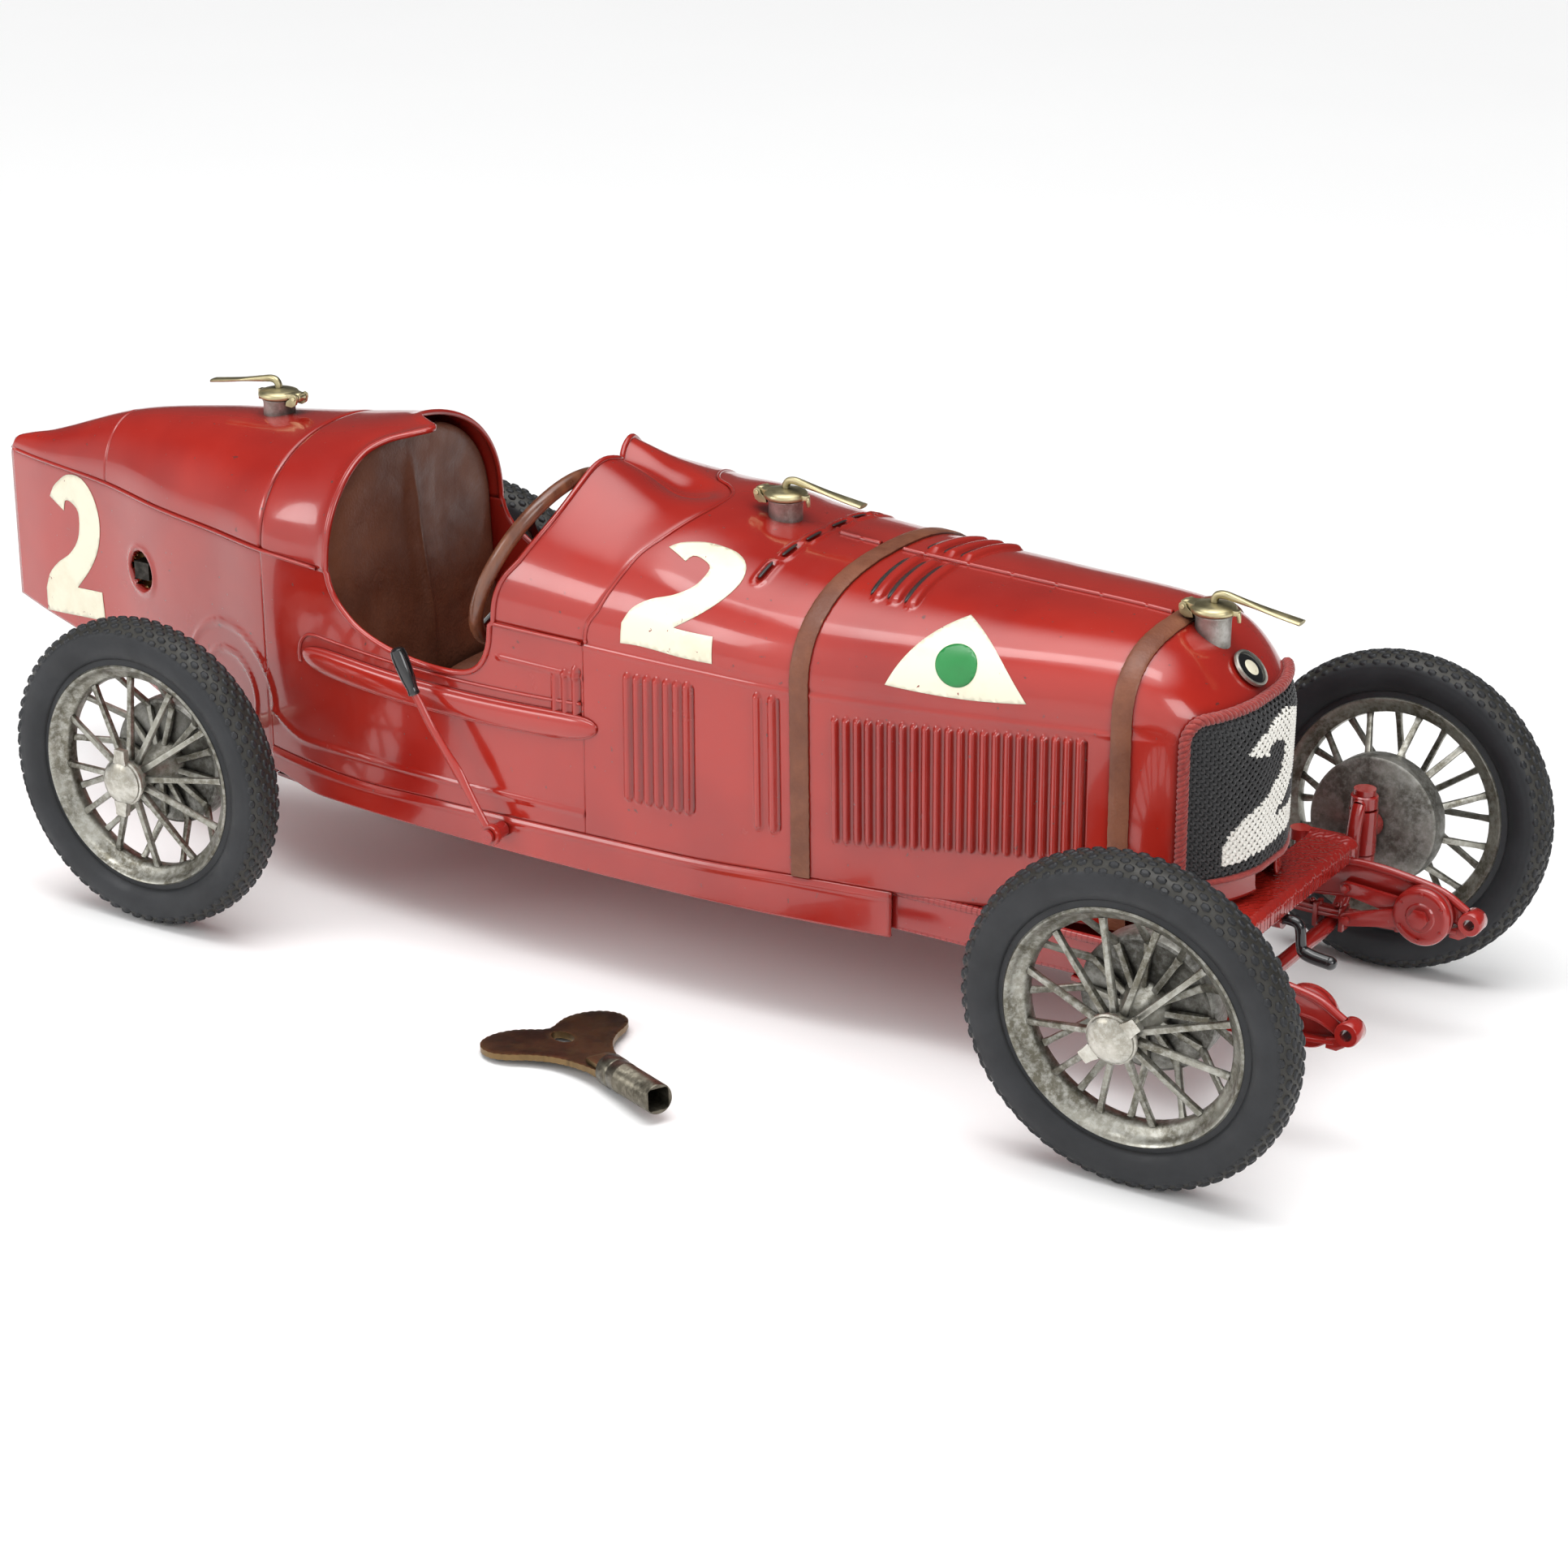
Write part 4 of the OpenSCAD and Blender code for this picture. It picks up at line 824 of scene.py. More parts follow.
NOTCH = [(-92.0, 112.0), (-91.3, 108.5), (-89.5, 104.2), (-86, 100), (-79, 95), (-68, 91.2), (-56, 89.2),
         (-46, 88.6), (-37, 89.2), (-31.5, 91.3), (-27.6, 95.6), (-25.6, 101.5), (-25, 108.0)]
HOOP_RIM = [(-48, -92), (-40, -92), (-26, -91.5), (-18, -88), (-11, -82), (-5, -79.5), (-1, -86), (4, -92),
            (12, -93.5), (26, -92.5), (40, -92), (48, -92)]
SEAM_X = [(-54.5, 9.4), (-53.5, 10.2), (-52, 14.7), (-47, 19), (-40.4, 21.8), (-31.8, 26), (-17.8, 28.9),
          (-6, 29.2), (2, 27.2), (8, 22), (12, 16), (20, 11), (32, 7), (44, 4), (54.5, 2)]
RIM_X = [(-54.5, -25), (-52, -22), (-48.5, -16.5), (-40, -12), (-27, -9.8), (-14, -9.2), (-6, -8.5), (0, -12),
         (6, -15.5), (12, -17), (24, -20), (40, -23), (54.5, -25)]
LEFT_FRONT = 2.0
RIGHT_FRONT = 9.4


def notch(x):
    """Top of the flank: the belt outside the cockpit, the notch within it."""
    smooth_low = curve(NOTCH, np.clip(x, -92, -25))
    z = np.where((x > -92) & (x < -25), np.minimum(smooth_low, 112), belt(x))
    return np.minimum(z, belt(x))


def flank_detail(x, z):
    """Fine lines pressed into the flanks beside the cockpit."""
    h = wheel_arcs(x, z)
    line = 97.3 - 0.02 * (x + 25)
    h = h + 0.7 * np.exp(-(((z - line) / 0.7) ** 2)) * ramp(x, -24, -21) * ramp(-x, -11, -8)
    low = 52.2 + 0.012 * (x + 60)
    sweep = np.where(x < -101, low + 0.027 * (x + 101) ** 2, low)
    h = h + 0.75 * np.exp(-(((z - sweep) / 0.75) ** 2)) * ramp(x, -119.5, -117)
    return h


def make_cockpit_shell():
    rim_x = curve(HOOP_RIM, arch(np.full(97, HOOP_X), np.linspace(0, PI, 97))[:, 1])
    u = np.linspace(0, 1, 31)[:, None]
    X = mix(HOOP_SEAM, rim_x[None, :], u)
    a = np.linspace(0, PI, 97)[None, :]
    top = arch(X, a + 0 * X)
    h = edge_round(X - HOOP_SEAM) + 0.9 * bell(u, 1, 0.1) + 0 * X
    top = emboss(top, h)
    grids = [top]
    for s, front in ((-1, RIGHT_FRONT), (1, LEFT_FRONT)):
        xs = np.concatenate([np.linspace(*ends) for ends in (
            (HOOP_SEAM, -92.2, 40), (-92, -84, 22), (-83, -33, 70), (-32.5, -24.5, 26), (-24, front, 60))])
        v = np.linspace(0, 1, 84)[None, :]
        X = xs[:, None] + 0 * v
        z = mix(sill(X), notch(X), v)
        p = np.stack([X, s * side_w(X, z), z], -1)
        h = flank_detail(X, z)
        if s < 0:
            h = h + louvre_group(X, z, -1.0, 6.6, 3, (82, 80), (96, 100), 1.9, 1.1)
        if s > 0:
            p = p[:, ::-1]
            h = h[:, ::-1]
        grids.append(emboss(p, h))
    ob = skin("cockpit_shell_sheet", grids, RED)
    place(ob, "chassis", "cockpit_shell", slot="red_enamel")


def flare(y):
    return 6.6 * bell(y, -15, 16) + 5.2 * bell(y, 14, 9) - 2.6 * bell(y, 2, 5)


def cowl_point(u, a):
    """u is 0 at the cockpit rim and 1 at the front seam."""
    y0 = arch(np.full(a.shape, 0.0), a)[..., 1]
    rear, front = curve(RIM_X, y0), curve(SEAM_X, y0)
    x = mix(rear, front, u)
    p = arch(x, a, COWL_Z)
    dish = 3.5 * bell(u, 0.55, 0.28) * bell(y0, 1, 12)
    p[..., 2] += flare(y0) * (1 - u) ** 1.3 - dish
    return p


def make_cowl():
    u = np.linspace(0, 1, 61)[:, None]
    a = np.linspace(0, PI, 145)[None, :]
    p = cowl_point(u + 0 * a, a + 0 * u)
    h = edge_round((1 - u) * 30, 0.8, 0.5) + 0 * p[..., 0]
    body_sheet("cowl_sheet", p, h, "cowl")
    # Rolled edge round the whole cockpit opening
    a = np.linspace(0, PI, 97)
    hoop = arch(curve(HOOP_RIM, arch(np.full(97, HOOP_X), a)[:, 1]), a)
    xs = np.concatenate([np.linspace(-91.6, -84, 14), np.linspace(-82, -33, 26), np.linspace(-32, -25.1, 14)])
    z = notch(xs)
    left = np.stack([xs, side_w(xs, z), z], 1)
    right = left[::-1] * np.array([1, -1, 1])
    front = cowl_point(np.zeros(97), np.linspace(PI, 0, 97))
    loop = np.concatenate([hoop, left, front, right])
    trim("cockpit_rolled_edge", loop, 0.95, closed=True)
    # Raised seam where the cowl meets the scuttle, and along its foot
    trim("cowl_seam", cowl_point(np.ones(121), np.linspace(0, PI, 121)), 0.55, sides=8)
    for (s, side), front_x in zip(SIDES, (RIGHT_FRONT, LEFT_FRONT)):
        xs = np.linspace(-24.5, front_x, 20)
        trim(f"cowl_foot_{side}", np.stack([xs, s * (half_w(xs) + 0.2), 107.6 + 0 * xs], 1), 0.7, sides=8)


def slit(x, p, centre, half, cx, lip, width):
    """Raised lip round a short crosswise slit, on both sides of the hinge line."""
    y = np.abs(p[..., 1])
    along = np.clip(y, centre - half, centre + half)
    d = np.hypot(y - along, x - cx)
    up = p[..., 2] > 112
    return up * (lip * bell(d, width, 0.8) - 0.8 * ramp(-d, -width + 0.1, -width + 0.7))


def top_slots(x, p):
    """Row of short slits with raised lips ahead of the cowl, following the seam's curve."""
    h = 0 * x
    for k in range(3):
        h = h + slit(x, p, 7.4 + 12.8 * k, 3.6, 62.3 - 0.6 * k, 0.7, 1.7)
    return h


def slit_shade(name, rows):
    """Painted shade over the slits: dark strips laid just over the skin, standing in for the shaded openings.
    rows are (x, centre, half length, half width, bend), repeated on both sides.
    """
    verts, faces = [], []
    for x0, centre, half, wide, bend in rows:
        for sign in (-1, 1):
            for u in np.linspace(-1, 1, 17):
                arc = centre + half * u
                w = wide * math.sqrt(max(0.0, 1 - u**6)) + 0.02
                for q in (-1, 1):
                    p, n = on_body(x0 + bend * arc**2 + q * w, arc)
                    p = p + n * 0.34
                    verts.append((p[0], p[1] * -sign, p[2]))
            k = len(verts) - 34
            faces += [(k + 2 * i, k + 2 * i + 1, k + 2 * i + 3, k + 2 * i + 2) for i in range(16)]
    ob = add_object(name, verts, faces, DARK)
    with edited(ob) as bm:
        bm.normal_update()
        for f in bm.faces:
            if f.normal.z < 0:
                f.normal_flip()
    thicken(ob, 0.15)
    place(ob, "chassis", slot="black_enamel")


def hinge_bead(name, x0, x1):
    """Raised centre hinge of the bonnet, with knuckle joints."""
    xs = np.linspace(x0, x1, int((x1 - x0) * 2))
    pts = np.stack([xs, 0 * xs, crown(xs) + 0.15], 1)
    size = [1 - 0.35 * math.exp(-((((x - x0) % 14.5) - 7) / 0.35) ** 2) for x in xs]
    trim(name, pts, 0.85, taper=size)


def belt_line(x, z):
    """Joint along the belt, with a soft swelling under it."""
    return groove(z - belt(x), 0.5, 0.35) + 0.3 * bell(z, belt(x) - 1.4, 0.6)


def make_scuttle():
    m, arch_n, side_n = 150, 120, 90
    u = np.linspace(0, 1, m)[:, None]
    y = arch(np.full(arch_n + 1, 25.0), np.linspace(0, PI, arch_n + 1))[:, 1]
    seam = curve(SEAM_X, np.clip(y, -54, 54))
    x_arch = mix(seam[None, :], SCUTTLE_FRONT, u)
    x_side = np.concatenate([mix(RIGHT_FRONT, SCUTTLE_FRONT, u), mix(LEFT_FRONT, SCUTTLE_FRONT, u)], 1)
    p = hoop_grid(x_side, x_arch, side_n, arch_n)
    x, z = p[..., 0], p[..., 2]
    on_side = z < belt(x) - 1
    h = on_side * (louvre_group(x, z, 25.5, 46.5, 7, (61, 61), (101.5, 102.5))
                   + louvre_group(x, z, 70.5, 75.5, 2, (61, 61), (104, 104)))
    h = h + top_slots(x, p) + edge_round(SCUTTLE_FRONT - x)
    h = h + belt_line(x, z)
    body_sheet("scuttle_sheet", p, h, "scuttle")
    # Painted shade: dark strips over the slits
    slit_shade("scuttle_slit_shade", [(61.6 - 0.6 * k, 7.4 + 12.8 * k, 4.2, 0.5, 0.0) for k in range(3)])
    hinge_bead("hinge_scuttle", 66.5, 80.5)


BEND = 0.0022


def bonnet_slots(x, p):
    """Three long curved louvres on each side of the hinge line."""
    y = np.abs(p[..., 1])
    h = 0 * x
    for k in range(3):
        bend = 95.6 + 5.6 * k + BEND * y**2
        along = np.clip(y, 5.5, 31)
        d = np.hypot(y - along, x - bend) / 1.9
        h = h + 1.5 * np.sqrt(np.maximum(0, 1 - d**2)) * (p[..., 2] > 112)
    return h


def make_bonnet():
    arch_n, side_n = 120, 90
    xs = np.concatenate([np.linspace(SCUTTLE_FRONT, 92, 14), np.linspace(92.5, 171, 236),
                         np.linspace(171.6, COWL_FROM, 16)])
    p = hoop_grid(*straight(xs, arch_n), side_n, arch_n)
    x, z = p[..., 0], p[..., 2]
    on_side = z < belt(x) - 0.5
    h = on_side * louvre_group(x, z, 95.5, 168.5, 22, (61.5, 68.5), (101, 105.5), 2.2, 1.7)
    h = h + bonnet_slots(x, p) + edge_round(x - SCUTTLE_FRONT) + edge_round(COWL_FROM - x)
    h = h + belt_line(x, z)
    body_sheet("bonnet_sheet", p, h, "bonnet")
    # Painted shade: dark strips over the louvres' openings
    slit_shade("bonnet_slit_shade", [(93.1 + 5.6 * k, 18.6, 13.2, 0.7, BEND) for k in range(3)])
    hinge_bead("hinge_bonnet", 88.2, 176.4)


NOSE_FOOT = 57.0


def make_nose():
    arch_n, side_n = 96, 50
    t = np.linspace(0, 1, 60)
    xs = COWL_FROM + (NOSE_X - COWL_FROM) * np.sin(PI / 2 * t)
    p = hoop_grid(*straight(xs, arch_n), side_n, arch_n, low=NOSE_FOOT)
    x, z = p[..., 0], p[..., 2]
    h = edge_round(x - COWL_FROM) + 0.5 * bell(z, NOSE_FOOT, 1.5)
    h = h + groove(z - belt(x), 0.6, 0.3) * ramp(-x, -196, -188)
    body_sheet("radiator_cowl_sheet", p, h, "radiator_cowl")


def make_side_mouldings():
    for s, name in SIDES:
        xs = np.concatenate([np.linspace(-103, -97, 16), np.linspace(-96, 8, 80), np.linspace(9, 14.5, 16)])
        b = np.linspace(-90, 90, 25) * PI / 180
        X = xs[:, None] + 0 * b
        u = (X + 44.2) / 58.8
        k = np.sqrt(np.maximum(0.0004, 1 - np.abs(u) ** 10))
        z = 79 + 2.4 * u**2 + 4.6 * k * np.sin(b)
        y = side_w(X, z) + 0.05 + 2.9 * k * np.cos(b) ** 0.8
        p = np.stack([X, s * y, z], -1)
        crease = -0.45 * bell(np.abs(b), 1.05, 0.1)[None, :] * k
        if s > 0:
            p = p[:, ::-1]
            crease = crease[:, ::-1]
        p = emboss(p, crease)
        ob = add_object(f"side_moulding_{name}", p.reshape(-1, 3), grid_faces(*p.shape[:2]), RED)
        thicken(ob, 0.8)
        place(ob, "chassis", *(["side_mouldings"] if s < 0 else []), slot="red_enamel")
        run = np.linspace(-97, 9, 30)
        z = 86.6 + 2.2 * ((run + 44.2) / 58.8) ** 2
        path = [(-103.9, 78.5, 0), (-104.3, 81.5, 0), (-103.4, 85.2, 0), (-100.8, 87.8, 0)]
        pts = spline(path + [(x, q, 0) for x, q in zip(run, z)], 110)
        xs, z = pts[:, 0], pts[:, 1]
        trim(f"side_bead_{name}", np.stack([xs, s * (side_w(xs, z) + 0.1), z], 1), 0.6, sides=8)


SKIRT_LOW = 34.7


def make_skirts():
    for s, side in SIDES:
        xs = np.concatenate([np.linspace(-119.5, -96, 30), np.linspace(-94, 113, 120)])
        # Lower edge: cut away in a curve behind the rear wheel
        low = SKIRT_LOW + 3.5 * ramp(-xs, 96, 119)
        high = sill(xs) - 0.1
        v = np.linspace(0, 1, 22)[None, :]
        X = xs[:, None] + 0 * v
        z = mix(low[:, None], np.maximum(high, low + 1)[:, None], v)
        out = 0.55 - 0.5 * ramp(z, high[:, None] - 1.2, high[:, None]) + 0.35 * bell(z, high[:, None] - 2.0,
                                                                                     0.6)
        y = half_f(X) + out
        p = np.stack([X, s * y, z], -1)
        if s > 0:
            p = p[:, ::-1]
        ob = skin(f"side_skirt_{side}", [p], RED, 1.6)
        place(ob, "chassis", *(["side_skirts"] if s < 0 else []), slot="red_enamel")


def make_strap(name, x0, node):
    """Leather band over the bonnet from x0, slightly domed and wavy along its edges."""
    half = 3.0
    across = np.linspace(-1, 1, 9)
    a_n, s_n = 100, 50
    rng = random.Random(7)
    wob = [rng.uniform(-0.15, 0.15) for _ in range(a_n + 2 * s_n + 1)]
    p = np.stack([hoop_grid(*straight([x0 + half + t * half], a_n), s_n, a_n)[0] for t in across], 0)
    p = p + grid_normals(p) * (1.0 - 0.25 * np.abs(across)[:, None, None] ** 4)
    p[..., 0] += np.array(wob)[None, :] * 0.6
    ob = skin(name, [p], LEATHER, 0.95)
    modifier(ob, "BEVEL", width=0.15 * MM, segments=2)
    place(ob, "chassis", node, slot="leather")


# ---- painted numerals and discs -------------------------------------------------------------------
def numeral_outline():
    """Outline of a bold 2 in a unit box: x to the right, y up, height 1."""
    bowl = [(0.18, 0.80), (0.24, 0.865), (0.315, 0.91), (0.49, 0.985), (0.71, 1.0), (0.865, 0.945),
            (0.965, 0.845),
            (1.0, 0.715), (0.94, 0.56), (0.795, 0.41), (0.54, 0.235)]
    foot = [(0.95, 0.265), (0.97, 0.075), (0.0, 0.0)]
    left = [(0.0, 0.15), (0.08, 0.26), (0.24, 0.36), (0.465, 0.46), (0.62, 0.59), (0.65, 0.755), (0.54, 0.81),
            (0.435, 0.805), (0.405, 0.735)]
    bowl, left = (spline([(*p, 0) for p in q], 34)[:, :2] for q in (bowl, left))
    return [tuple(p) for p in [*bowl, *foot, *left]]


def divided(outline, step):
    """The outline with its long edges cut up."""
    out = []
    for k, a in enumerate(outline):
        b = outline[(k + 1) % len(outline)]
        n = max(1, math.ceil(math.dist(a, b) / step))
        out += [(mix(a[0], b[0], i / n), mix(a[1], b[1], i / n)) for i in range(n)]
    return out


def inside(x, y, poly):
    a, b = poly, np.roll(poly, -1, 0)
    cross = ((a[:, 1] > y) != (b[:, 1] > y)) & (
        x < (b[:, 0] - a[:, 0]) * (y - a[:, 1]) / (b[:, 1] - a[:, 1] + 1e-12) + a[:, 0])
    return cross.sum() % 2 == 1


def fill_outline(outline, step, hole=()):
    """Even triangles inside an outline: (points, faces). The outline's points come first, then the hole's."""
    pts = [Vector(p) for p in [*outline, *hole]]
    n = len(outline)
    lo = np.min(outline, axis=0)
    hi = np.max(outline, axis=0)
    poly = np.asarray(outline)
    for i, x in enumerate(np.arange(lo[0] + step / 2, hi[0], step)):
        for y in np.arange(lo[1] + step / 2 + (i % 2) * step / 2, hi[1], step):
            if inside(x, y, poly):
                pts.append(Vector((x, y)))
    edges = [(k, (k + 1) % n) for k in range(n)]
    edges += [(n + k, n + (k + 1) % len(hole)) for k in range(len(hole))]
    v, _, f, *_ = geometry.delaunay_2d_cdt(pts, edges, [list(range(n))], 1, 1e-5)
    return np.array([tuple(p) for p in v]), f


def painted(name, outline, to_body, step, mat, lift=0.18):
    """Thin coat of paint laid on the body. to_body maps (u, v) to a point and a normal."""
    uv, faces = fill_outline(divided(outline, step), step)
    verts = []
    for u, v in uv:
        p, n = to_body(u, v)
        verts.append(p + n * lift)
    ob = add_object(name, verts, faces, mat)
    with edited(ob) as bm:
        bmesh.ops.recalc_face_normals(bm, faces=bm.faces)
        bm.normal_update()
        if sum(f.normal.y for f in bm.faces) > 0:
            bmesh.ops.reverse_faces(bm, faces=bm.faces)
    thicken(ob, 0.1)
    return place(ob, "chassis", slot="red_enamel")


def make_numerals():
    outline = numeral_outline()

    def scuttle(u, v):
        return on_body(23.2 + 33 * u, 70.5 - 41.5 * v)

    painted("numeral_scuttle", outline, scuttle, 0.045, CREAM)

    def tail(u, v):
        x = -247 + 34 * u
        z = 58.3 + 53 * v
        foot = float(curve(FOOT_Z, x))
        p = np.array([x, -float(side_w(x, z, foot)), z])
        q = np.array([x + 1, -float(side_w(x + 1, z, foot)), z])
        d = q - p
        n = np.array([d[1], -d[0], 0])
        n = n / np.linalg.norm(n)
        return p, n if n[1] < 0 else -n

    painted("numeral_tail", outline, tail, 0.05, CREAM)

    # Plain three-cornered plaque with slightly swelling sides, and a plain disc on it
    tips = [(127.3, 30.0), (152.6, 52.8), (110.6, 58.9)]
    sides = []
    for k in range(3):
        a, b = np.array(tips[k]), np.array(tips[(k + 1) % 3])
        away = (a + b) / 2 - np.mean(tips, axis=0)
        away = away / np.linalg.norm(away)
        sides += [tuple(mix(a, b, t) + away * 4.4 * t * (1 - t)) for t in np.linspace(0, 1, 22, endpoint=False)]
    painted("plaque_cream", sides, on_body, 1.6, CREAM)
    ring = [(130.6 + 6.3 * math.cos(t), 47.6 + 6.3 * math.sin(t)) for t in full_turn(56)]
    painted("plaque_disc", ring, on_body, 1.3, GREEN, 0.30)


# ---- radiator screen and badge ------------------------------------------------------------------
SCREEN_LOW, SCREEN_HIGH = 66.0, 113.0
SCREEN_FROM = 197.0
# The weave faces away from an upright line at this x
SCREEN_AXIS = 180.0
# Share of the screen's half width that lies level across the nose
FLAT = 0.22


def screen_point(t, z, out):
    """t runs from -1 at the right edge round the nose to 1 at the left, level across the middle."""
    a = np.maximum(0, (np.abs(t) - FLAT) / (1 - FLAT)) * PI / 2
    x = SCREEN_FROM + (NOSE_X - SCREEN_FROM) * np.maximum(0, np.cos(a)) ** 0.9
    v = np.clip((z - NOSE_FOOT) / (belt(x) - NOSE_FOOT), 0, 1)
    w = mix(half_f(x), half_w(x), v) * np.minimum(1, np.abs(t) / FLAT)
    # Above the belt the front leans back with the crown
    lean = np.maximum(0, z - 106) ** 1.6 * 0.16 * np.cos(a)
    side = np.sign(t)
    return np.stack([x + out * np.cos(a) - lean, side * (w + out * np.sin(a)) + 0 * z, z + 0 * x], -1)


def make_screen():
    ts = np.linspace(-1, 1, 161)
    # Run along the surface, so that the weave is even
    mid = screen_point(ts, np.full(161, 90.0), 1.0)
    run = run_along(mid)
    length = run[-1]
    pitch = 1.25
    nu = int(length / pitch)
    nv = int((SCREEN_HIGH - SCREEN_LOW) / pitch)
    poly = np.asarray(numeral_outline())
    parts = {"dark": Builder(), "pale": Builder()}
    corner = 6.5

    def white(s, z):
        """0 for dark, 1 for pale, 2 beyond the rounded top corners."""
        over = z - (SCREEN_HIGH - corner)
        out = max(corner - s, s - (length - corner))
        if over > 0 and out > 0 and math.hypot(over, out) > corner:
            return 2
        return int(inside((s - length * 0.5 + 23.5) / 43, (z - 68.5) / 40, poly))

    def strand(points, flags, width, thick):
        """Flat thread along points, cut where its colour changes."""
        points = np.asarray(points)
        k = 0
        while k < len(points) - 1:
            j = k
            while j < len(points) - 1 and flags[j] == flags[k]:
                j += 1
            if flags[k] == 2:
                k = j
                continue
            seg = points[k:j + 1]
            t = np.gradient(seg, axis=0) if len(seg) > 1 else np.array([[0, 0, 1.0]])
            t = unit(t)
            out = seg - np.array([SCREEN_AXIS, 0, 0])
            out[:, 2] = 0
            out = unit(out)
            side = np.cross(t, out)
            side = unit(side)
            wide = width * (1.25 if flags[k] else 1.0)
            ring = [seg + side * wide, seg + out * thick + side * wide * 0.4,
                    seg + out * thick - side * wide * 0.4,
                    seg - side * wide, seg - out * thick * 0.7]
            v = np.stack(ring, 1).reshape(-1, 3)
            parts["pale" if flags[k] else "dark"].add(v, grid_faces(len(seg), 5, wrap_v=True))
            k = j

    us = (np.arange(nu) + 0.5) * length / nu
    vs = SCREEN_LOW + (np.arange(nv) + 0.5) * (SCREEN_HIGH - SCREEN_LOW) / nv
    fine_v = np.linspace(SCREEN_LOW, SCREEN_HIGH, nv * 3 + 1)
    fine_u = np.linspace(0, length, nu * 3 + 1)
    for i, s in enumerate(us):
        t = float(np.interp(s, run, ts))
        wave = 0.32 * np.cos((fine_v - SCREEN_LOW) / (SCREEN_HIGH - SCREEN_LOW) * nv * PI + i * PI)
        pts = [screen_point(np.array(t), np.array(z), 1.2 + w) for z, w in zip(fine_v, wave)]
        strand(pts, [white(s, z) for z in fine_v], 0.45, 0.26)
    for j, z in enumerate(vs):
        wave = -0.32 * np.cos(fine_u / length * nu * PI + j * PI)
        tt = np.interp(fine_u, run, ts)
        pts = [screen_point(np.array(t), np.array(z), 1.2 + w) for t, w in zip(tt, wave)]
        strand(pts, [white(s, z) for s in fine_u], 0.45, 0.26)
    for key, mat in (("dark", THREAD_DARK), ("pale", THREAD_PALE)):
        ob = parts[key].make(f"screen_weave_{key}", mat, sharp=80)
        place(ob, "chassis", *(["radiator_screen"] if key == "dark" else []), slot="black_enamel")
    # Backing behind the weave, pale where the numeral is
    zs = np.linspace(SCREEN_LOW - 1, SCREEN_HIGH - 0.5, 60)
    T, Z = np.meshgrid(ts, zs, indexing="ij")
    back = screen_point(T, Z, 0.55)
    tone = [white((run[i] + run[i + 1]) / 2, (zs[j] + zs[j + 1]) / 2) for i in range(160) for j in range(59)]
    faces = grid_faces(161, 60)
    keep = [k for k, v in enumerate(tone) if v < 2]
    ob = add_object("screen_backing", back.reshape(-1, 3), faces[keep], [THREAD_DARK, THREAD_PALE],
                    face_mats=[tone[k] for k in keep])
    thicken(ob, 0.3)
    place(ob, "chassis", slot="black_enamel")
    # Braided cord up one side, over the rounded corners and down the other side
    z_low, z_high, c = SCREEN_LOW - 1.5, SCREEN_HIGH + 0.6, corner
    flat = [(0, z) for z in np.linspace(z_low, z_high - c, 40)]
    flat += [(c - c * math.cos(q), z_high - c + c * math.sin(q)) for q in np.linspace(0.1, PI / 2, 14)]
    flat += [(q, z_high) for q in np.linspace(c + 0.5, length / 2, 50)]
    flat += [(length - q, z) for q, z in flat[-2::-1]]
    path = np.array([screen_point(np.array(float(np.interp(q, run, ts))), np.array(float(z)), 1.4) for q,
                     z in flat])
    run2 = run_along(path)
    s = np.arange(0, run2[-1], 0.35)
    path = np.stack([np.interp(s, run2, path[:, k]) for k in range(3)], 1)
    tan = np.gradient(path, axis=0)
    tan = unit(tan)
    out = path - np.array([SCREEN_AXIS, 0, 88])
    out -= tan * (out * tan).sum(1, keepdims=True)
    out = unit(out)
    side = np.cross(tan, out)
    for k in range(3):
        ph = s * TAU / 5.0 + k * TAU / 3
        pts = path + 0.95 * (np.cos(ph)[:, None] * out + np.sin(ph)[:, None] * side)
        trim(f"screen_braid_{k}", pts, 0.85, THREAD_RED, sides=7)
    low = [screen_point(np.array(t), np.array(SCREEN_LOW - 1.5), 1.3) for t in np.linspace(-1, 1, 90)]
    trim("screen_foot_cord", low, 1.0, THREAD_RED, sides=8)


def make_badge():
    b = Builder()
    m = shift((200.9, 0, 120.4)) @ spin(math.radians(45), "Y")
    b.lathe([(2.6, 0.95), (3.4, 0.92), (4.9, 0.8), (5.2, 0.6)], m, 0, 56)
    b.lathe([(0.001, 1.15), (1.8, 1.12), (2.5, 1.0), (2.7, 0.8)], m, 2, 56)
    b.lathe([(5.1, 0.5), (5.2, 1.1), (5.6, 1.25), (6.0, 1.05), (6.1, 0.2), (5.1, 0.2)], m, 1, 56)
    ob = b.make("nose_disc", [BLACK, NICKEL, CREAM])
    place(ob, "chassis", "nose_badge", slot="zinc")


# ---- wheels ---------------------------------------------------------------------------------------
def wheel_matrix(x, s, z, lean):
    return shift((x, s * HALF_TRACK, z)) @ spin(-s * (PI / 2 + lean), "X")


def rim_profile():
    """Deep trough outside, with a bead at each edge, as (r, z) pairs round the section."""
    return [(36.0, -5.0), (35.6, -5.5), (34.9, -5.3), (33.6, -4.2), (32.2, -3.3), (31.2, -2.8), (30.8, -1.6),
            (30.8, 0.4), (31.1, 1.4), (31.9, 2.0), (33.2, 2.9), (34.3, 4.2), (34.8, 5.2), (35.5, 5.6),
            (36.0, 5.1), (36.1, 0.0), (36.0, -5.0)]


def soft(v):
    """Sine or cosine of a rounded-square section."""
    return math.copysign(abs(v) ** 0.75, v)


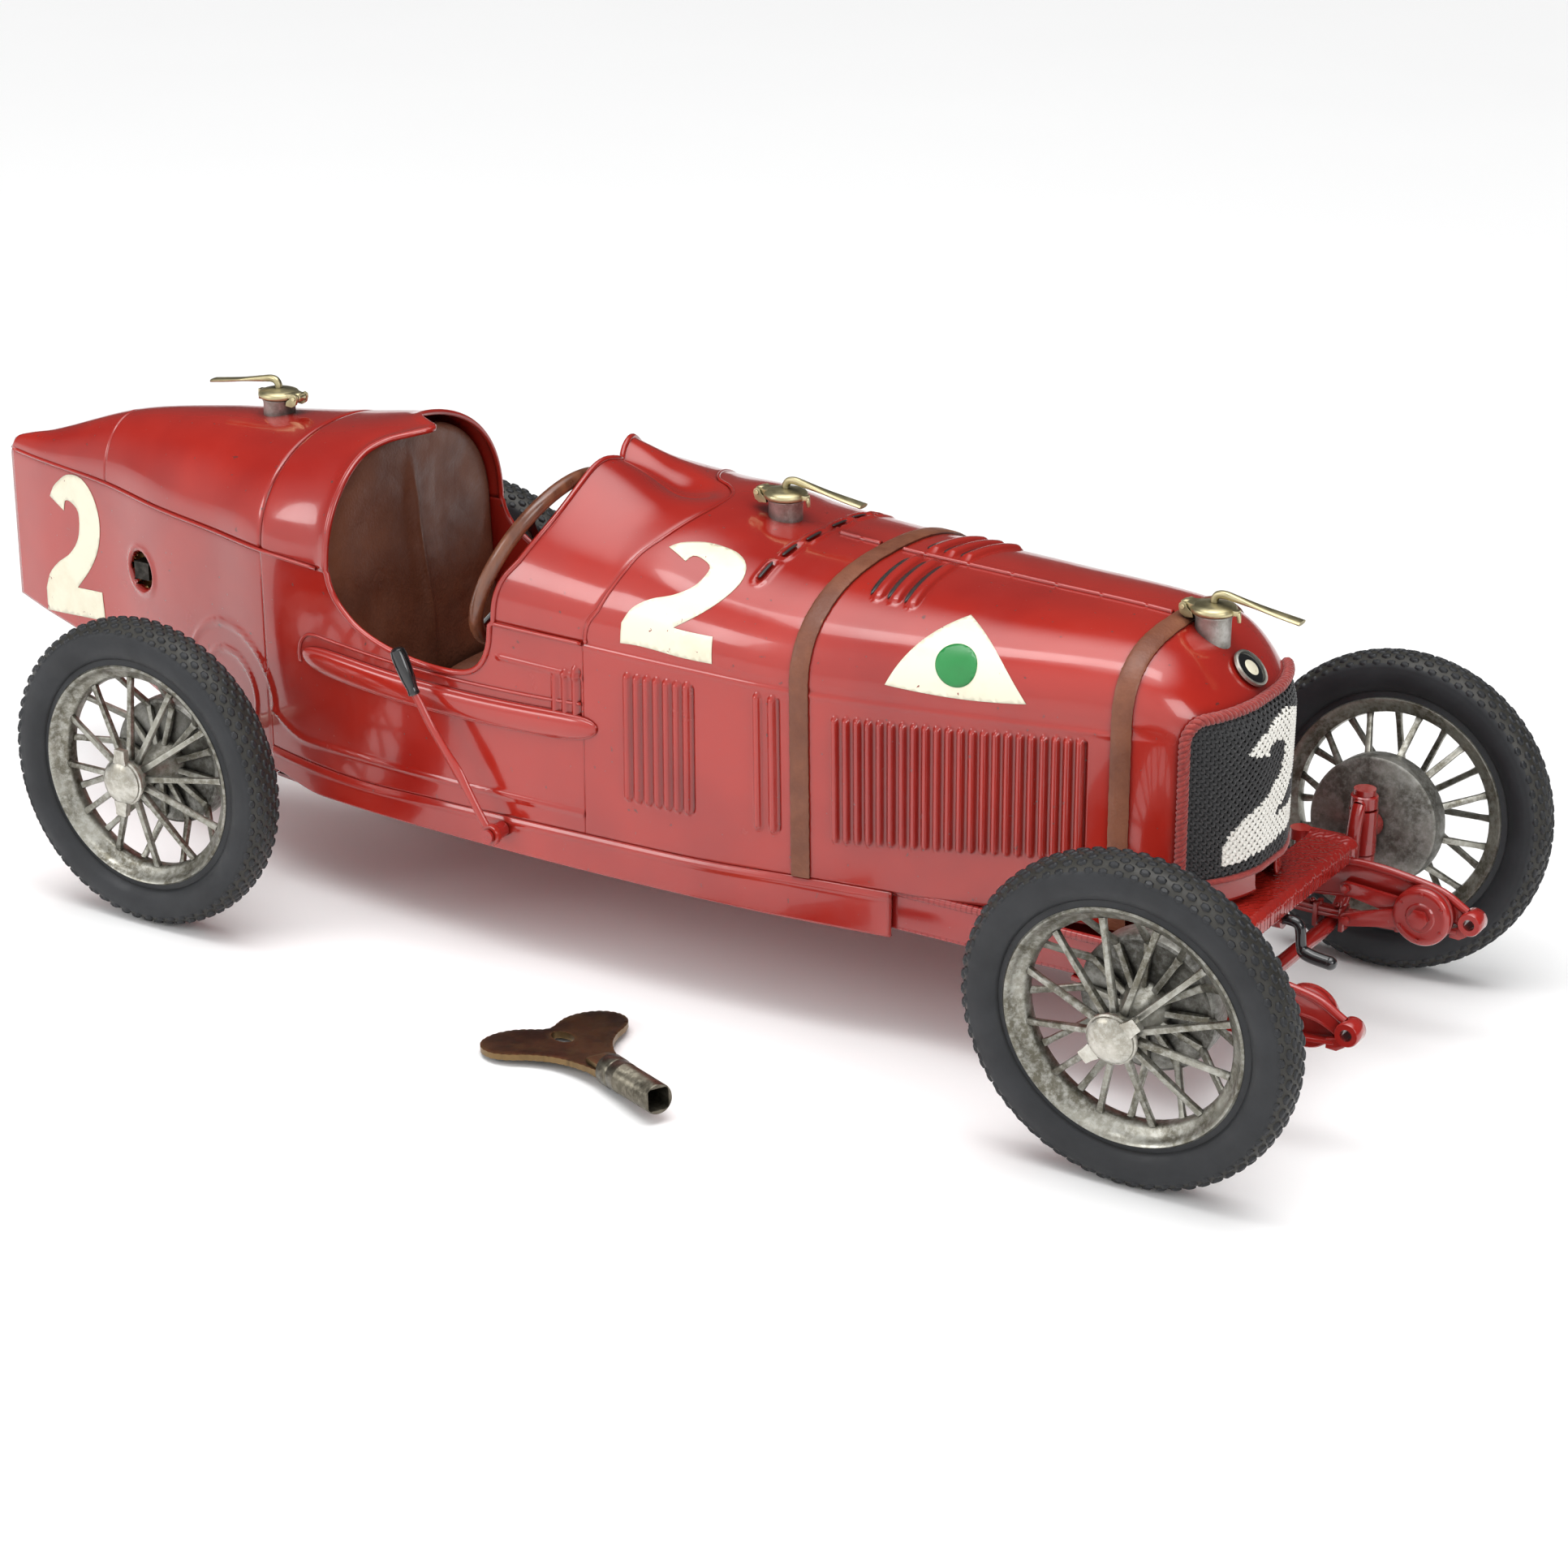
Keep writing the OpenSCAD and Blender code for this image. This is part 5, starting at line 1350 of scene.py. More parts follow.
def spoke(b, r0, z0, r1, z1, angle, w0, w1, d0, d1):
    """Tapered cast spoke with a rounded section, w across and d deep."""
    rows = []
    for k in range(7):
        u = k / 6
        w, d = mix(w0, w1, u) / 2, mix(d0, d1, u) / 2
        flare_out = 1 + 0.35 * (u > 0.95) + 0.15 * (u < 0.05)
        ring = [(soft(math.cos(t)) * w * flare_out, soft(math.sin(t)) * d) for t in full_turn(8)]
        r, z = mix(r0, r1, u), mix(z0, z1, u)
        rows.append([(r, y, z + q) for y, q in ring])
    b.loft(rows, spin(angle, "Z"))


def stand(ob, m, turn):
    """Puts a wheel part on its hub, turned about it."""
    ob.data.transform(Matrix.Scale(MM, 4) @ m @ spin(turn, "Z") @ Matrix.Scale(1 / MM, 4))


def make_wheel(name, m, body, node, turn):
    b = Builder()
    b.lathe(rim_profile(), None, 0, 120)
    for k in range(12):
        a = TAU * k / 12
        spoke(b, 4.2, 6.6, 31.3, 0.9, a, 2.3, 1.9, 2.6, 1.9)
        spoke(b, 18.3, -11.2, 31.3, -1.6, a + TAU / 24, 2.4, 1.9, 2.6, 1.9)
        spoke(b, 6.0, -8.0, 19.0, -11.0, a + TAU / 24, 2.2, 2.4, 1.6, 2.4)
    # Hub barrel, waisted, and the drum with a turned face
    b.lathe([(2.6, -10), (7.6, -10), (7.5, -8.6), (5.6, -6), (4.4, -1), (4.4, 3), (5.4, 5), (6.0, 6.2),
             (6.0, 9.6),
             (5.6, 10.1), (2.6, 10.1)], None, 0, 48)
    b.lathe([(2.6, -19), (19.4, -19), (20.3, -18.4), (20.5, -17.4), (20.5, -11.2), (20.2, -10.4), (19.4, -10.0),
             (18.6, -10.4), (17.5, -10.9), (10.5, -10.6), (8, -10.0), (2.6, -10.0)], None, 1, 80)
    ob = b.make(name, [ZINC, ZINC_DARK], sharp=42)
    stand(ob, m, turn)
    place(ob, body, node, slot="zinc")


def tyre_profile():
    """Section of the tyre from the inner bead over the tread to the outer bead."""
    mid_r, half_h = 43.1, 7.0
    pts = []
    for k in range(41):
        a = mix(-0.80 * PI, 0.80 * PI, k / 40)
        c, s = math.cos(a), math.sin(a)
        z = 7.0 * math.copysign(abs(s) ** 0.88, s)
        r = mid_r + (half_h - 0.55) * math.copysign(abs(c) ** 0.88, c)
        pts.append((r, z))
    pts += [(35.4, 5.0), (35.2, 0), (35.4, -5.0)]
    pts.append(pts[0])
    # Fine moulding rings on both side walls
    out = []
    for r, z in pts:
        lift = 0.25 * math.exp(-(((r - 46.3) / 0.5) ** 2)) + 0.22 * math.exp(-(((r - 38.2) / 0.5) ** 2))
        out.append((r, z + math.copysign(lift, z) if abs(z) > 2 else z))
    return out


def make_tyre(name, m, body, node, turn):
    b = Builder()
    b.lathe(tyre_profile(), None, 0, 144)
    # Tread: rows of small round-cornered studs, alternate rows half a step on
    rng = random.Random(11)
    count = 66
    rows = [(-5.9, 0.95, 47.15, 0.9), (-4.2, 1.0, 48.75, 1.05), (-2.1, 1.05, 49.3, 1.1), (0, 1.0, 49.45, 1.1),
            (2.1, 1.05, 49.3, 1.1), (4.2, 1.0, 48.75, 1.05), (5.9, 0.95, 47.15, 0.9)]
    for j, (z, w, r, h) in enumerate(rows):
        tilt = math.atan2(z, 14) * 1.15
        for k in range(count):
            a = TAU * (k + 0.5 * (j % 2) + rng.uniform(-0.04, 0.04)) / count
            half_t = 1.55 * (0.9 if abs(z) > 5 else 1.0)
            q = spin(a, "Z") @ shift((r, 0, z)) @ spin(-tilt, "Y")
            low, top = -1.0, h * 0.5
            v = []
            for level, grow in ((low, 1.12), (top * 0.55, 1.0), (top, 0.62)):
                for t in range(6):
                    ang = TAU * (t + 0.5) / 6
                    v.append((level, half_t * grow * math.cos(ang), w * grow * math.sin(ang)))
            f = [tuple(x) for x in grid_faces(3, 6, wrap_v=True)]
            f.append(tuple(range(12, 18)))
            b.add(v, f, q, 0)
    ob = b.make(name, [RUBBER, GROOVE], sharp=60)
    # The band under the studs holds dust
    me = ob.data
    for p in me.polygons:
        c = p.center / MM
        r = math.hypot(c.x, c.y)
        if len(p.vertices) == 4 and 46.3 < r < 49.7 and abs(c.z) < 6.4 and p.area > 1.2e-7 and p.area < 4e-6:
            n = p.normal
            if abs(n.z) < 0.75 and r < 49.56 and p.index < 144 * 44:
                p.material_index = 1
    stand(ob, m, turn)
    place(ob, body, node, slot="tyre")


def make_spinner(b, m, turn):
    m = m @ spin(turn, "Z")
    b.lathe([(2.9, 10.0), (7.4, 10.0), (7.6, 10.5), (7.5, 11.2), (7.0, 11.5), (6.9, 12.1), (6.3, 12.7),
             (5.3, 13.2),
             (3.9, 13.7), (2.2, 14.05), (0.001, 14.15)], m, 0, 56)
    for s in (0, PI):
        ear = [(6.2, -2.6), (8.6, -2.1), (10.8, -2.0), (11.0, -1.6), (11.0, 1.6), (10.8, 2.0), (8.6, 2.1),
               (6.2, 2.6)]
        b.prism(ear, 10.4, 12.6, m @ spin(s, "Z"), 0, 0.35)


def make_wheels():
    for s, side in SIDES:
        m = wheel_matrix(REAR_X, s, TYRE_R, 0)
        turn = 0.11 if s < 0 else 0.3
        make_wheel(f"wheel_rear_{side}", m, "rear_axle", f"rear_wheel_{side}", turn)
        make_tyre(f"tyre_rear_{side}", m, "rear_axle", f"rear_tyre_{side}", turn)
        m = wheel_matrix(FRONT_X, s, FRONT_HUB_Z, CAMBER)
        body = "wheel_fr" if s < 0 else "wheel_fl"
        make_wheel(f"wheel_front_{side}", m, body, f"front_wheel_{side}", turn + 0.13)
        make_tyre(f"tyre_front_{side}", m, body, f"front_tyre_{side}", turn + 0.13)
        b = Builder()
        make_spinner(b, m, 0.72 if s < 0 else 1.2)
        place(b.make(f"spinner_front_{side}", NICKEL), body, f"front_hub_nut_{side}", slot="zinc")
    b = Builder()
    make_spinner(b, wheel_matrix(REAR_X, -1, TYRE_R, 0), PI / 2 - 0.03)
    make_spinner(b, wheel_matrix(REAR_X, 1, TYRE_R, 0), 0.6)
    place(b.make("spinners_rear", NICKEL), "rear_axle", "rear_hub_nuts", slot="zinc")


# ---- fillers --------------------------------------------------------------------------------------
FILLERS = (("rear", -146.0, 139.0, 147.6, -1, "rear_lid"), ("scuttle", 47.2, 136.0, 145.3, 1, "scuttle_lid"),
           ("radiator", 189.0, 122.0, 135.0, 1, "radiator_lid"))


def filler_matrix(x, z, way):
    return shift((x, 0, z)) @ spin(0 if way > 0 else PI, "Z")


def make_fillers():
    necks = Builder()
    for name, x, base, top, way, body in FILLERS:
        m = filler_matrix(x, top, way)
        h = top - base
        necks.lathe([(4.4, -h), (5.2, -h), (5.2, -1.2), (5.45, -0.8), (5.5, -0.2), (5.3, 0), (4.5, 0),
                     (4.4, -0.3),
                     (4.4, -h)], m, 0, 48)
        for y in (-2.6, 2.6):
            post = [(-9.6, 1.0), (-9.4, 2.1), (-8.4, 2.6), (-7.4, 2.1), (-6.9, 1.1), (-5.3, -0.1), (-5.0, -1.5),
                    (-7.5, -1.7),
                    (-9.0, -0.8)]
            mm = m @ shift((0, y + 0.55, 0)) @ spin(PI / 2, "X")
            necks.prism(post, 0, 1.1, mm, 1, 0.12)
        necks.rod(*[np.array(m @ Vector((-8.4, y, 1.2))) for y in (-3.5, 3.5)], 0.75, mat=1)
        b = Builder()
        b.lathe([(0.001, 0.15), (5.9, 0.15), (6.5, 0.35), (6.75, 0.9), (6.7, 1.6), (6.2, 2.25), (4.8, 2.75),
                 (2.9, 3.0),
                 (2.4, 3.15), (0.001, 3.2)], m, 0, 56)
        # Hinge knuckle blending into the lid
        tongue = [(-9.6, -1.6), (-6.2, -2.9), (-4.6, -3.6), (-4.6, 3.6), (-6.2, 2.9), (-9.6, 1.6)]
        b.prism(tongue, 0.9, 2.5, m, 0, 0.35)
        b.rod(*[np.array(m @ Vector((-8.4, y, 1.25))) for y in (-1.7, 1.7)], 1.5)
        # Catch at the front
        b.prism([(5.2, -1.5), (7.4, -1.2), (7.9, -0.9), (7.9, 0.9), (7.4, 1.2), (5.2, 1.5)], 0.5, 2.0, m, 0,
                0.25)
        b.rod(np.array(m @ Vector((7.5, 0, 1.4))), np.array(m @ Vector((8.0, 0, -1.6))), 0.8, 0.5)
        # Round stem bent over into a flat tapering lever
        stem = spline([(0, 0, 2.9), (0.1, 0, 4.3), (1.0, 0, 5.5), (2.8, 0, 5.9), (5.2, 0, 5.6)], 22)
        rows = []
        path = np.vstack([stem, spline([(6.2, 0, 5.4), (12, 0, 4.4), (20, 0, 3.0), (27, 0, 1.9)], 22)])
        for k, c in enumerate(path):
            u = k / (len(path) - 1)
            t = path[min(k + 1, len(path) - 1)] - path[max(k - 1, 0)]
            t /= np.linalg.norm(t)
            n = np.cross([0, 1, 0], t)
            w = mix(1.15, 2.3, ramp(u, 0.42, 1.0))
            d = mix(1.15, 0.62, ramp(u, 0.42, 0.75))
            rows.append([c + w * math.copysign(abs(math.cos(q)) ** 0.8, math.cos(q)) * np.array([0, 1, 0])
                         + d * math.copysign(abs(math.sin(q)) ** 0.8, math.sin(q)) * n
                         for q in full_turn(12)])
        b.loft(rows, m)
        place(b.make(f"filler_lid_{name}", BRASS, sharp=50), body, f"{name}_filler_lid", slot="brass")
    place(necks.make("filler_necks_cast", [ZINC_NECK, BRASS]), "chassis", "filler_necks", slot="zinc")


# ---- cockpit --------------------------------------------------------------------------------------
def make_seats():
    # Hide lining behind the seats: follows the hoop, bulges forward lower down, with a centre ridge
    m, n = 90, 110
    t = np.linspace(0, 1, m)[:, None]
    y_u = np.linspace(-1, 1, n)[None, :]
    z = mix(58, 143.5, t)
    zb, top = 110.5, 145.2
    k = np.clip((z - zb) / (top - zb), 0, 0.995)
    half = np.where(z > zb, 44.2 * (1 - k**2.2) ** (1 / 2.2), 44.2)
    y = half * y_u
    zz = z + 0 * y_u
    forward = mix(10.5, 3.0, ramp(z, 62, 128))
    edge = 1 - np.abs(y_u) ** 6
    ridge = 2.6 * np.exp(-((np.abs(y) / 2.6) ** 1.6)) * ramp(zz, 60, 90) * ramp(-zz, -142, -120)
    hollow = -1.6 * bell(np.abs(y), 22, 13) * bell(zz, 104, 26)
    wave = 0.5 * np.sin(zz * 0.27 + 0.06 * y + 1.1 * np.sin(y * 0.12)) * bell(np.abs(y), 24, 14)
    x = -96.3 + (forward + ridge + hollow + wave * 0.8) * (0.35 + 0.65 * edge)
    p = np.stack([x + 0 * zz, y, zz], -1)[:, ::-1]
    ob = add_object("seat_back_hide", p.reshape(-1, 3), grid_faces(m, n), SEAT_HIDE)
    thicken(ob, 1.2)
    place(ob, "chassis", "seat_back", slot="leather")
    for s, name in SIDES:
        cushion(f"seat_cushion_{name}", s)


def cushion(name, s):
    """Seat squab: crowned by formula, then swollen with a short Cloth run."""
    x0, x1, w, z0, z1 = -83.8, -41.5, 43.0, 56.2, 68.6
    bm = bmesh.new()
    bmesh.ops.create_cube(bm, size=1.0)
    bmesh.ops.subdivide_edges(bm, edges=bm.edges[:], cuts=11, use_grid_fill=True)
    cx, cz = (x0 + x1) / 2, (z0 + z1) / 2
    for v in bm.verts:
        u, t, q = v.co.x * 2, v.co.y * 2, v.co.z * 2
        crown_up = (1 - u**4) * (1 - t**4)
        pinch = 1 - 0.06 * (abs(q) ** 2)
        x = cx + (x1 - x0) / 2 * u * pinch * (1 - 0.03 * t * t)
        y = s * (w / 2 + 0.8) + w / 2 * t * pinch * (1 - 0.03 * u * u)
        z = cz + (z1 - z0) / 2 * q * (0.62 + 0.38 * crown_up)
        if q < 0:
            z = max(z, z0)
        v.co = Vector((x, y, z)) * MM
    me = bpy.data.meshes.new(name)
    bm.to_mesh(me)
    bm.free()
    ob = bpy.data.objects.new(name, me)
    bpy.context.scene.collection.objects.link(ob)
    me.materials.append(SEAT_HIDE)
    swell(ob, 1.6)
    me = ob.data
    # Sewn channels across the squab, and a floor that stays flat
    for v in me.vertices:
        x, y, z = v.co / MM
        up = ramp(z, 61, 66)
        ch = sum(math.exp(-(((x - c) / 1.1) ** 2)) for c in (-73, -62.5, -52))
        z = z - 1.1 * ch * up
        z = min(max(z, 56.1), 69.8)
        x = min(max(x, -84.0), -41.0)
        lo, hi = (0.65, 44.0) if s > 0 else (-44.0, -0.65)
        y = min(max(y, lo), hi)
        v.co = Vector((x, y, z)) * MM
    me.polygons.foreach_set("use_smooth", np.full(len(me.polygons), True))
    me.update()
    modifier(ob, "SUBSURF", levels=1, render_levels=1)
    place(ob, "chassis", *(["seat_cushion"] if s < 0 else []), slot="leather")


def swell(ob, cap):
    """Voxel remesh, a short Cloth run with pressure and no gravity, then a cap on how far a point moved."""
    modifier(ob, "REMESH", mode="VOXEL", voxel_size=1.6 * MM)
    apply_modifiers(ob)
    before = np.array([tuple(v.co) for v in ob.data.vertices])
    cloth = ob.modifiers.new("swell", "CLOTH")
    cloth.settings.use_pressure = True
    cloth.settings.uniform_pressure_force = 4
    cloth.settings.effector_weights.gravity = 0
    cloth.settings.quality = 4
    cloth.point_cache.frame_start, cloth.point_cache.frame_end = 1, 16
    for k in range(1, 17):
        bpy.context.scene.frame_set(k)
    apply_modifiers(ob)
    after = np.array([tuple(v.co) for v in ob.data.vertices])
    move = after - before
    far = np.linalg.norm(move, axis=1, keepdims=True)
    after = before + move * np.minimum(1, cap * MM / np.maximum(far, 1e-9))
    ob.data.vertices.foreach_set("co", after.ravel())
    bpy.context.scene.frame_set(1)
    if not ob.data.materials:
        ob.data.materials.append(SEAT_HIDE)


COLUMN = (-26.4, -22.0, 120.0)
RAKE = math.radians(26.15)


def make_steering():
    m = shift(COLUMN) @ spin(PI / 2 + RAKE, "Y")
    b = Builder()
    ring = [(30.6 + 2.25 * math.cos(t) * (1 + 0.06 * math.cos(2 * t)), 2.35 * math.sin(t))
            for t in np.linspace(0, TAU, 19)]
    b.lathe(ring, m, 0, 128)
    for k in range(4):
        r = m @ spin(PI / 4 + k * PI / 2, "Z")
        arm = [(3.2, -2.0), (10, -1.5), (22, -1.35), (29.4, -1.8), (29.4, 1.8), (22, 1.35), (10, 1.5),
               (3.2, 2.0)]
        b.prism(arm, -0.5, 0.7, r, 1, 0.2)
    b.lathe([(0.001, -2.6), (2.6, -2.6), (3.4, -2.2), (3.6, -1.2), (5.2, -0.8), (5.4, 0), (5.2, 1.2),
             (4.0, 2.4), (1.9, 2.5)],
            m, 1, 40)
    place(b.make("steering_wheel_rim", [WOOD, BLACK]), "steering", "steering_wheel", slot="wood")
    b = Builder()
    for k in range(5):
        x = -40 + 12 * k
        b.lathe([(0.001, 1.4), (1.2, 1.35), (2.1, 0.7), (2.2, 0)],
                shift((0.9, x, 96)) @ spin(-PI / 2, "Y"), 0, 24)
    place(b.make("dash_buttons", NICKEL), "chassis", slot="zinc")


LEVER_PIVOT = (-21, -60, 42)


def make_lever():
    path = [LEVER_PIVOT, (-24.5, -60, 47), (-31, -60, 57.2), (-38.2, -60, 67), (-43, -60, 73.5),
            (-46.6, -60, 79.5),
            (-48.8, -60, 82.8)]
    pts = spline(path, 40)
    b = Builder()
    rows = []
    for k, c in enumerate(pts):
        t = pts[min(k + 1, 39)] - pts[max(k - 1, 0)]
        t /= np.linalg.norm(t)
        n = np.cross([0, 1, 0], t)
        u = k / 39
        w = 1.35 + 0.5 * bell(u, 0.45, 0.1)
        rows.append([c + 1.1 * math.sin(q) * np.array([0, 1, 0]) + w * math.cos(q) * n
                     for q in full_turn(12)])
    b.loft(rows)
    boss = shift(LEVER_PIVOT) @ spin(PI / 2, "X")
    b.lathe([(1.3, -1.2), (3.2, -1.2), (3.4, -0.9), (3.4, 0.9), (3.2, 1.2), (1.3, 1.2)], boss, 0, 32)
    place(b.make("hand_lever_arm", RED), "hand_lever", "brake_lever", slot="black_enamel")
    b = Builder()
    d = Vector((-55.3, 0, 96.3)) - Vector((-48.8, 0, 82.5))
    m = shift((-48.8, -60, 82.5)) @ d.to_track_quat("Z", "Y").to_matrix().to_4x4()
    b.lathe([(0.001, -0.4), (1.7, -0.4), (2.0, 0), (1.75, 1.0), (1.8, 2.0), (2.3, 5), (2.55, 9), (2.6, 12.4),
             (2.3, 14.2),
             (1.4, 15.0), (0.001, 15.2)], m, 0, 32)
    place(b.make("hand_lever_grip", BLACK), "hand_lever", "brake_grip", slot="black_enamel")


# ---- front end ------------------------------------------------------------------------------------
def make_apron():
    xs = np.concatenate([np.linspace(203, 214.8, 40), 214.8 + 2.6 * np.sin(np.linspace(0.1, PI / 2, 10))])
    zs = np.concatenate([np.full(40, 55.5), 55.5 - 2.6 * (1 - np.cos(np.linspace(0.1, PI / 2, 10)))])
    xs = np.concatenate([xs, np.full(12, 217.4)])
    zs = np.concatenate([zs, np.linspace(52.5, 49.6, 12)])
    y = np.linspace(-47.4, 47.4, 200)
    X, Y = np.meshgrid(xs, y, indexing="ij")
    Z = np.repeat(zs[:, None], 200, 1)
    p = np.stack([X, Y, Z], -1)
    dimple = 0.13 * np.sin(X * 2.1 + 1.7 * np.sin(Y * 0.9)) * np.sin(Y * 1.9 + 1.3 * np.sin(X * 1.3))
    sag = 0.8 * bell(np.abs(Y), 47.4, 3)
    ob = skin("apron_hammered", [emboss(p, dimple + sag)], RED_HAMMERED, 1.0)
    place(ob, "chassis", "front_apron", slot="red_enamel")
    b = Builder()
    for s in (-1, 1):
        b.box((14, 1.2, 6.6), shift((210.2, s * 46.6, 52.0)), 0, 0.3)
    place(b.make("apron_ends", RED_HAMMERED), "chassis", slot="red_enamel")


def make_crank():
    path = spline([(206.5, 0, 47.2), (213, 0, 47.2), (218.6, 0, 47.2), (220.6, 0, 46.4), (221.3, 0, 44.4),
                   (221.8, 0, 40.2),
                   (222.6, 0, 38.5), (224.8, 0, 37.6), (228, 0, 37.1), (231, 0, 36.8)], 70)
    ob = tube("starting_handle", path, 1.6, BLACK, sides=14,
              taper=[1 + 0.28 * float(ramp(k / 69, 0.66, 0.75)) for k in range(70)])
    place(ob, "crank", "starting_crank", slot="black_enamel")
    b = Builder()
    b.ball((231.0, 0, 36.8), 2.05)
    place(b.make("starting_handle_end", BLACK), "crank", slot="black_enamel")


EYE = (256.3, 39.2)
DAMPER = (242.3, 39.4)
RAIL_Y = 44.6
KINGPIN_Y = 65.0


def make_front_frame():
    """Pressed rails, leaf springs, friction dampers and the tubular axle, on both sides."""
    rails, springs, dampers, beam = Builder(), Builder(), Builder(), Builder()
    top = spline([(98, 0, 48.2), (150, 0, 48.2), (203, 0, 48.2), (214, 0, 49.4), (226, 0, 49.7), (238, 0, 48.2),
                  (247, 0, 46.2), (254.4, 0, 42.0)], 90)
    low = spline([(254, 0, 37.2), (246, 0, 40.9), (232, 0, 41.4), (214, 0, 38.9), (197, 0, 37.5),
                  (112, 0, 37.4)], 70)
    for s in (-1, 1):
        turn = spin(PI / 2, "X")
        web = [(x, z) for x, _, z in top[::4]] + [(x, z) for x, _, z in low[::4]] + [(98, 37.0)]
        rails.prism(web, -0.9, 0.9, shift((0, s * RAIL_Y, 0)) @ turn, 0, 0.15)
        for path, r in ((top, 1.35), (low, 1.0)):
            for k in range(len(path) - 1):
                q, d = aim(*(path[i] + np.array([0, s * RAIL_Y, 0]) for i in (k, k + 1)))
                rails.lathe([(r, -0.15), (r, d + 0.15)], q, 0, 14)
        barrel = shift((EYE[0], s * RAIL_Y, EYE[1])) @ turn
        rails.lathe([(1.75, -3.1), (3.3, -3.1), (3.6, -2.7), (3.6, 2.7), (3.3, 3.1), (1.75, 3.1), (1.75, -3.1)],
                    barrel, 0, 40)
        # Two leaves, a clip and a short shackle up to the eye
        for leaf in range(2):
            reach = 40.3 * (0.62 if leaf == 0 else 1)
            xs = np.linspace(FRONT_X - reach, FRONT_X + reach, 28)
            z = 31.2 + 2.2 * ((xs - FRONT_X) / 40.3) ** 2 + 1.45 * leaf
            strip = [(x, q) for x, q in zip(xs, z)] + [(x, q + 1.35) for x, q in zip(xs[::-1], z[::-1])]
            springs.prism(strip, -1.9, 1.9, shift((0, s * RAIL_Y, 0)) @ turn, 0, 0.3)
        springs.prism([(250.0, 33.4), (253.2, 33.2), (257.4, 36.0), (255.0, 37.6), (250.0, 36.4)], -1.7, 1.7,
                      shift((0, s * RAIL_Y, 0)) @ turn, 0, 0.5)
        for x in (FRONT_X - 4.2, FRONT_X + 4.2, FRONT_X + 22):
            deep = 3.4 if x > FRONT_X + 10 else 7.5
            springs.box((1.5, 5.0, deep), shift((x, s * RAIL_Y, 34.4 - deep / 2 + 0.6)), 0, 0.35)
        # Damper: stacked discs with a hexagon bolt, two tapering arms with a bolt at each end
        m = shift((DAMPER[0], s * 43.1, DAMPER[1])) @ spin(PI / 2, "X")
        if s < 0:
            m = m @ Matrix.Diagonal((1, 1, -1, 1))
        dampers.lathe([(0.001, 0), (8.6, 0), (9.0, 0.4), (9.0, 1.3), (8.4, 1.6), (8.4, 2.2), (9.0, 2.5),
                       (9.0, 3.6),
                       (8.5, 4.3), (7.4, 4.6), (6.6, 4.4), (4.6, 4.4), (4.2, 4.8), (0.001, 4.8)], m, 0, 64)
        dampers.prism([(3.1 * math.cos(t), 3.1 * math.sin(t)) for t in full_turn(6)],
                      4.7, 6.5, m, 0, 0.3)
        for k in range(6):
            t = TAU * (k + 0.5) / 6
            dampers.lathe([(0.001, 5.0), (0.6, 4.9), (0.75, 4.2)],
                          m @ shift((7.3 * math.cos(t), 7.3 * math.sin(t), 0)), 0, 12)
        for tip, z0 in (((217.8, 42.5), 0.9), ((219.0, 33.2), 2.3)):
            d = Vector((tip[0] - DAMPER[0], tip[1] - DAMPER[1]))
            length = d.length
            arm = m @ spin(math.atan2(d.y, d.x), "Z")
            w0, w1 = 3.3, 2.1
            shape = [(0, -w0), (length, -w1)]
            shape += [(length + w1 * math.sin(t), -w1 * math.cos(t)) for t in np.linspace(0.3, PI - 0.3, 8)]
            shape += [(length, w1), (0, w0)]
            dampers.prism(shape, z0, z0 + 1.5, arm, 0, 0.25)
            dampers.prism([(length + 1.4 * math.cos(t), 1.4 * math.sin(t)) for t in full_turn(6)],
                          z0 + 1.4, z0 + 2.7, arm, 0, 0.2)
        # Axle: straight tube, goosenecks to the two kingpin bosses
        neck = spline([(FRONT_X, s * y, z) for y, z in ((0, 28.7), (25, 28.7), (43, 28.7), (50, 31.0),
                                                        (55.5, 37.5),
                                                       (57.6, 46), (58.6, 54), (61, 60.3), (64, 61.6))], 60)
        for k in range(59):
            q, d = aim(neck[k], neck[k + 1])
            r = mix(2.5, 2.2, k / 59)
            beam.lathe([(r, -0.3), (r, d + 0.3)], q, 0, 16)
        beam.rod((FRONT_X, s * 56.5, 41.5), (FRONT_X, s * 63, 42.8), 2.1)
        for z0, z1 in ((41.0, 44.6), (59.0, 63.4)):
            beam.lathe([(2.05, z0), (3.8, z0), (4.2, z0 + 0.4), (4.2, z1 - 0.4), (3.8, z1), (2.05, z1),
                        (2.05, z0)],
                       shift((FRONT_X, s * KINGPIN_Y, 0)), 0, 40)
    for b, name, node in ((rails, "rails_pressed", "front_rails"), (springs, "springs_leaved", "leaf_springs"),
                          (dampers, "dampers_friction", "shock_absorbers"),
                          (beam, "axle_tubular", "front_axle_beam")):
        ob = b.make(name, RED_PLAIN, sharp=40)
        face_outwards(ob)
        place(ob, "chassis", node, slot="red_enamel")


def make_front_detail():
    """Bolt heads and rivets on the chassis's front end."""
    b = Builder()
    for s in (-1, 1):
        for x, z, r in ((219.3, 44.6, 1.5), (232, 45.0, 1.2), (103, 42.6, 1.4)):
            b.ball((x, s * (RAIL_Y + 0.9), z), r * 0.8, 0, 12)
        for x in (206, 214):
            b.ball((x, s * RAIL_Y, 34.8), 0.9, 0, 10)
    place(b.make("front_rivets", RED_PLAIN), "chassis", slot="red_enamel")


# ---- key ------------------------------------------------------------------------------------------
KEY_END = (84.0, -126.6, 7.4)
KEY_TURN = math.radians(152.8)
KEY_LEAN = math.radians(4.95)
# Oval hole in the key's handle: its centre and half sizes
HOLE_X, HOLE_LONG, HOLE_WIDE = 57.5, 5.0, 2.9


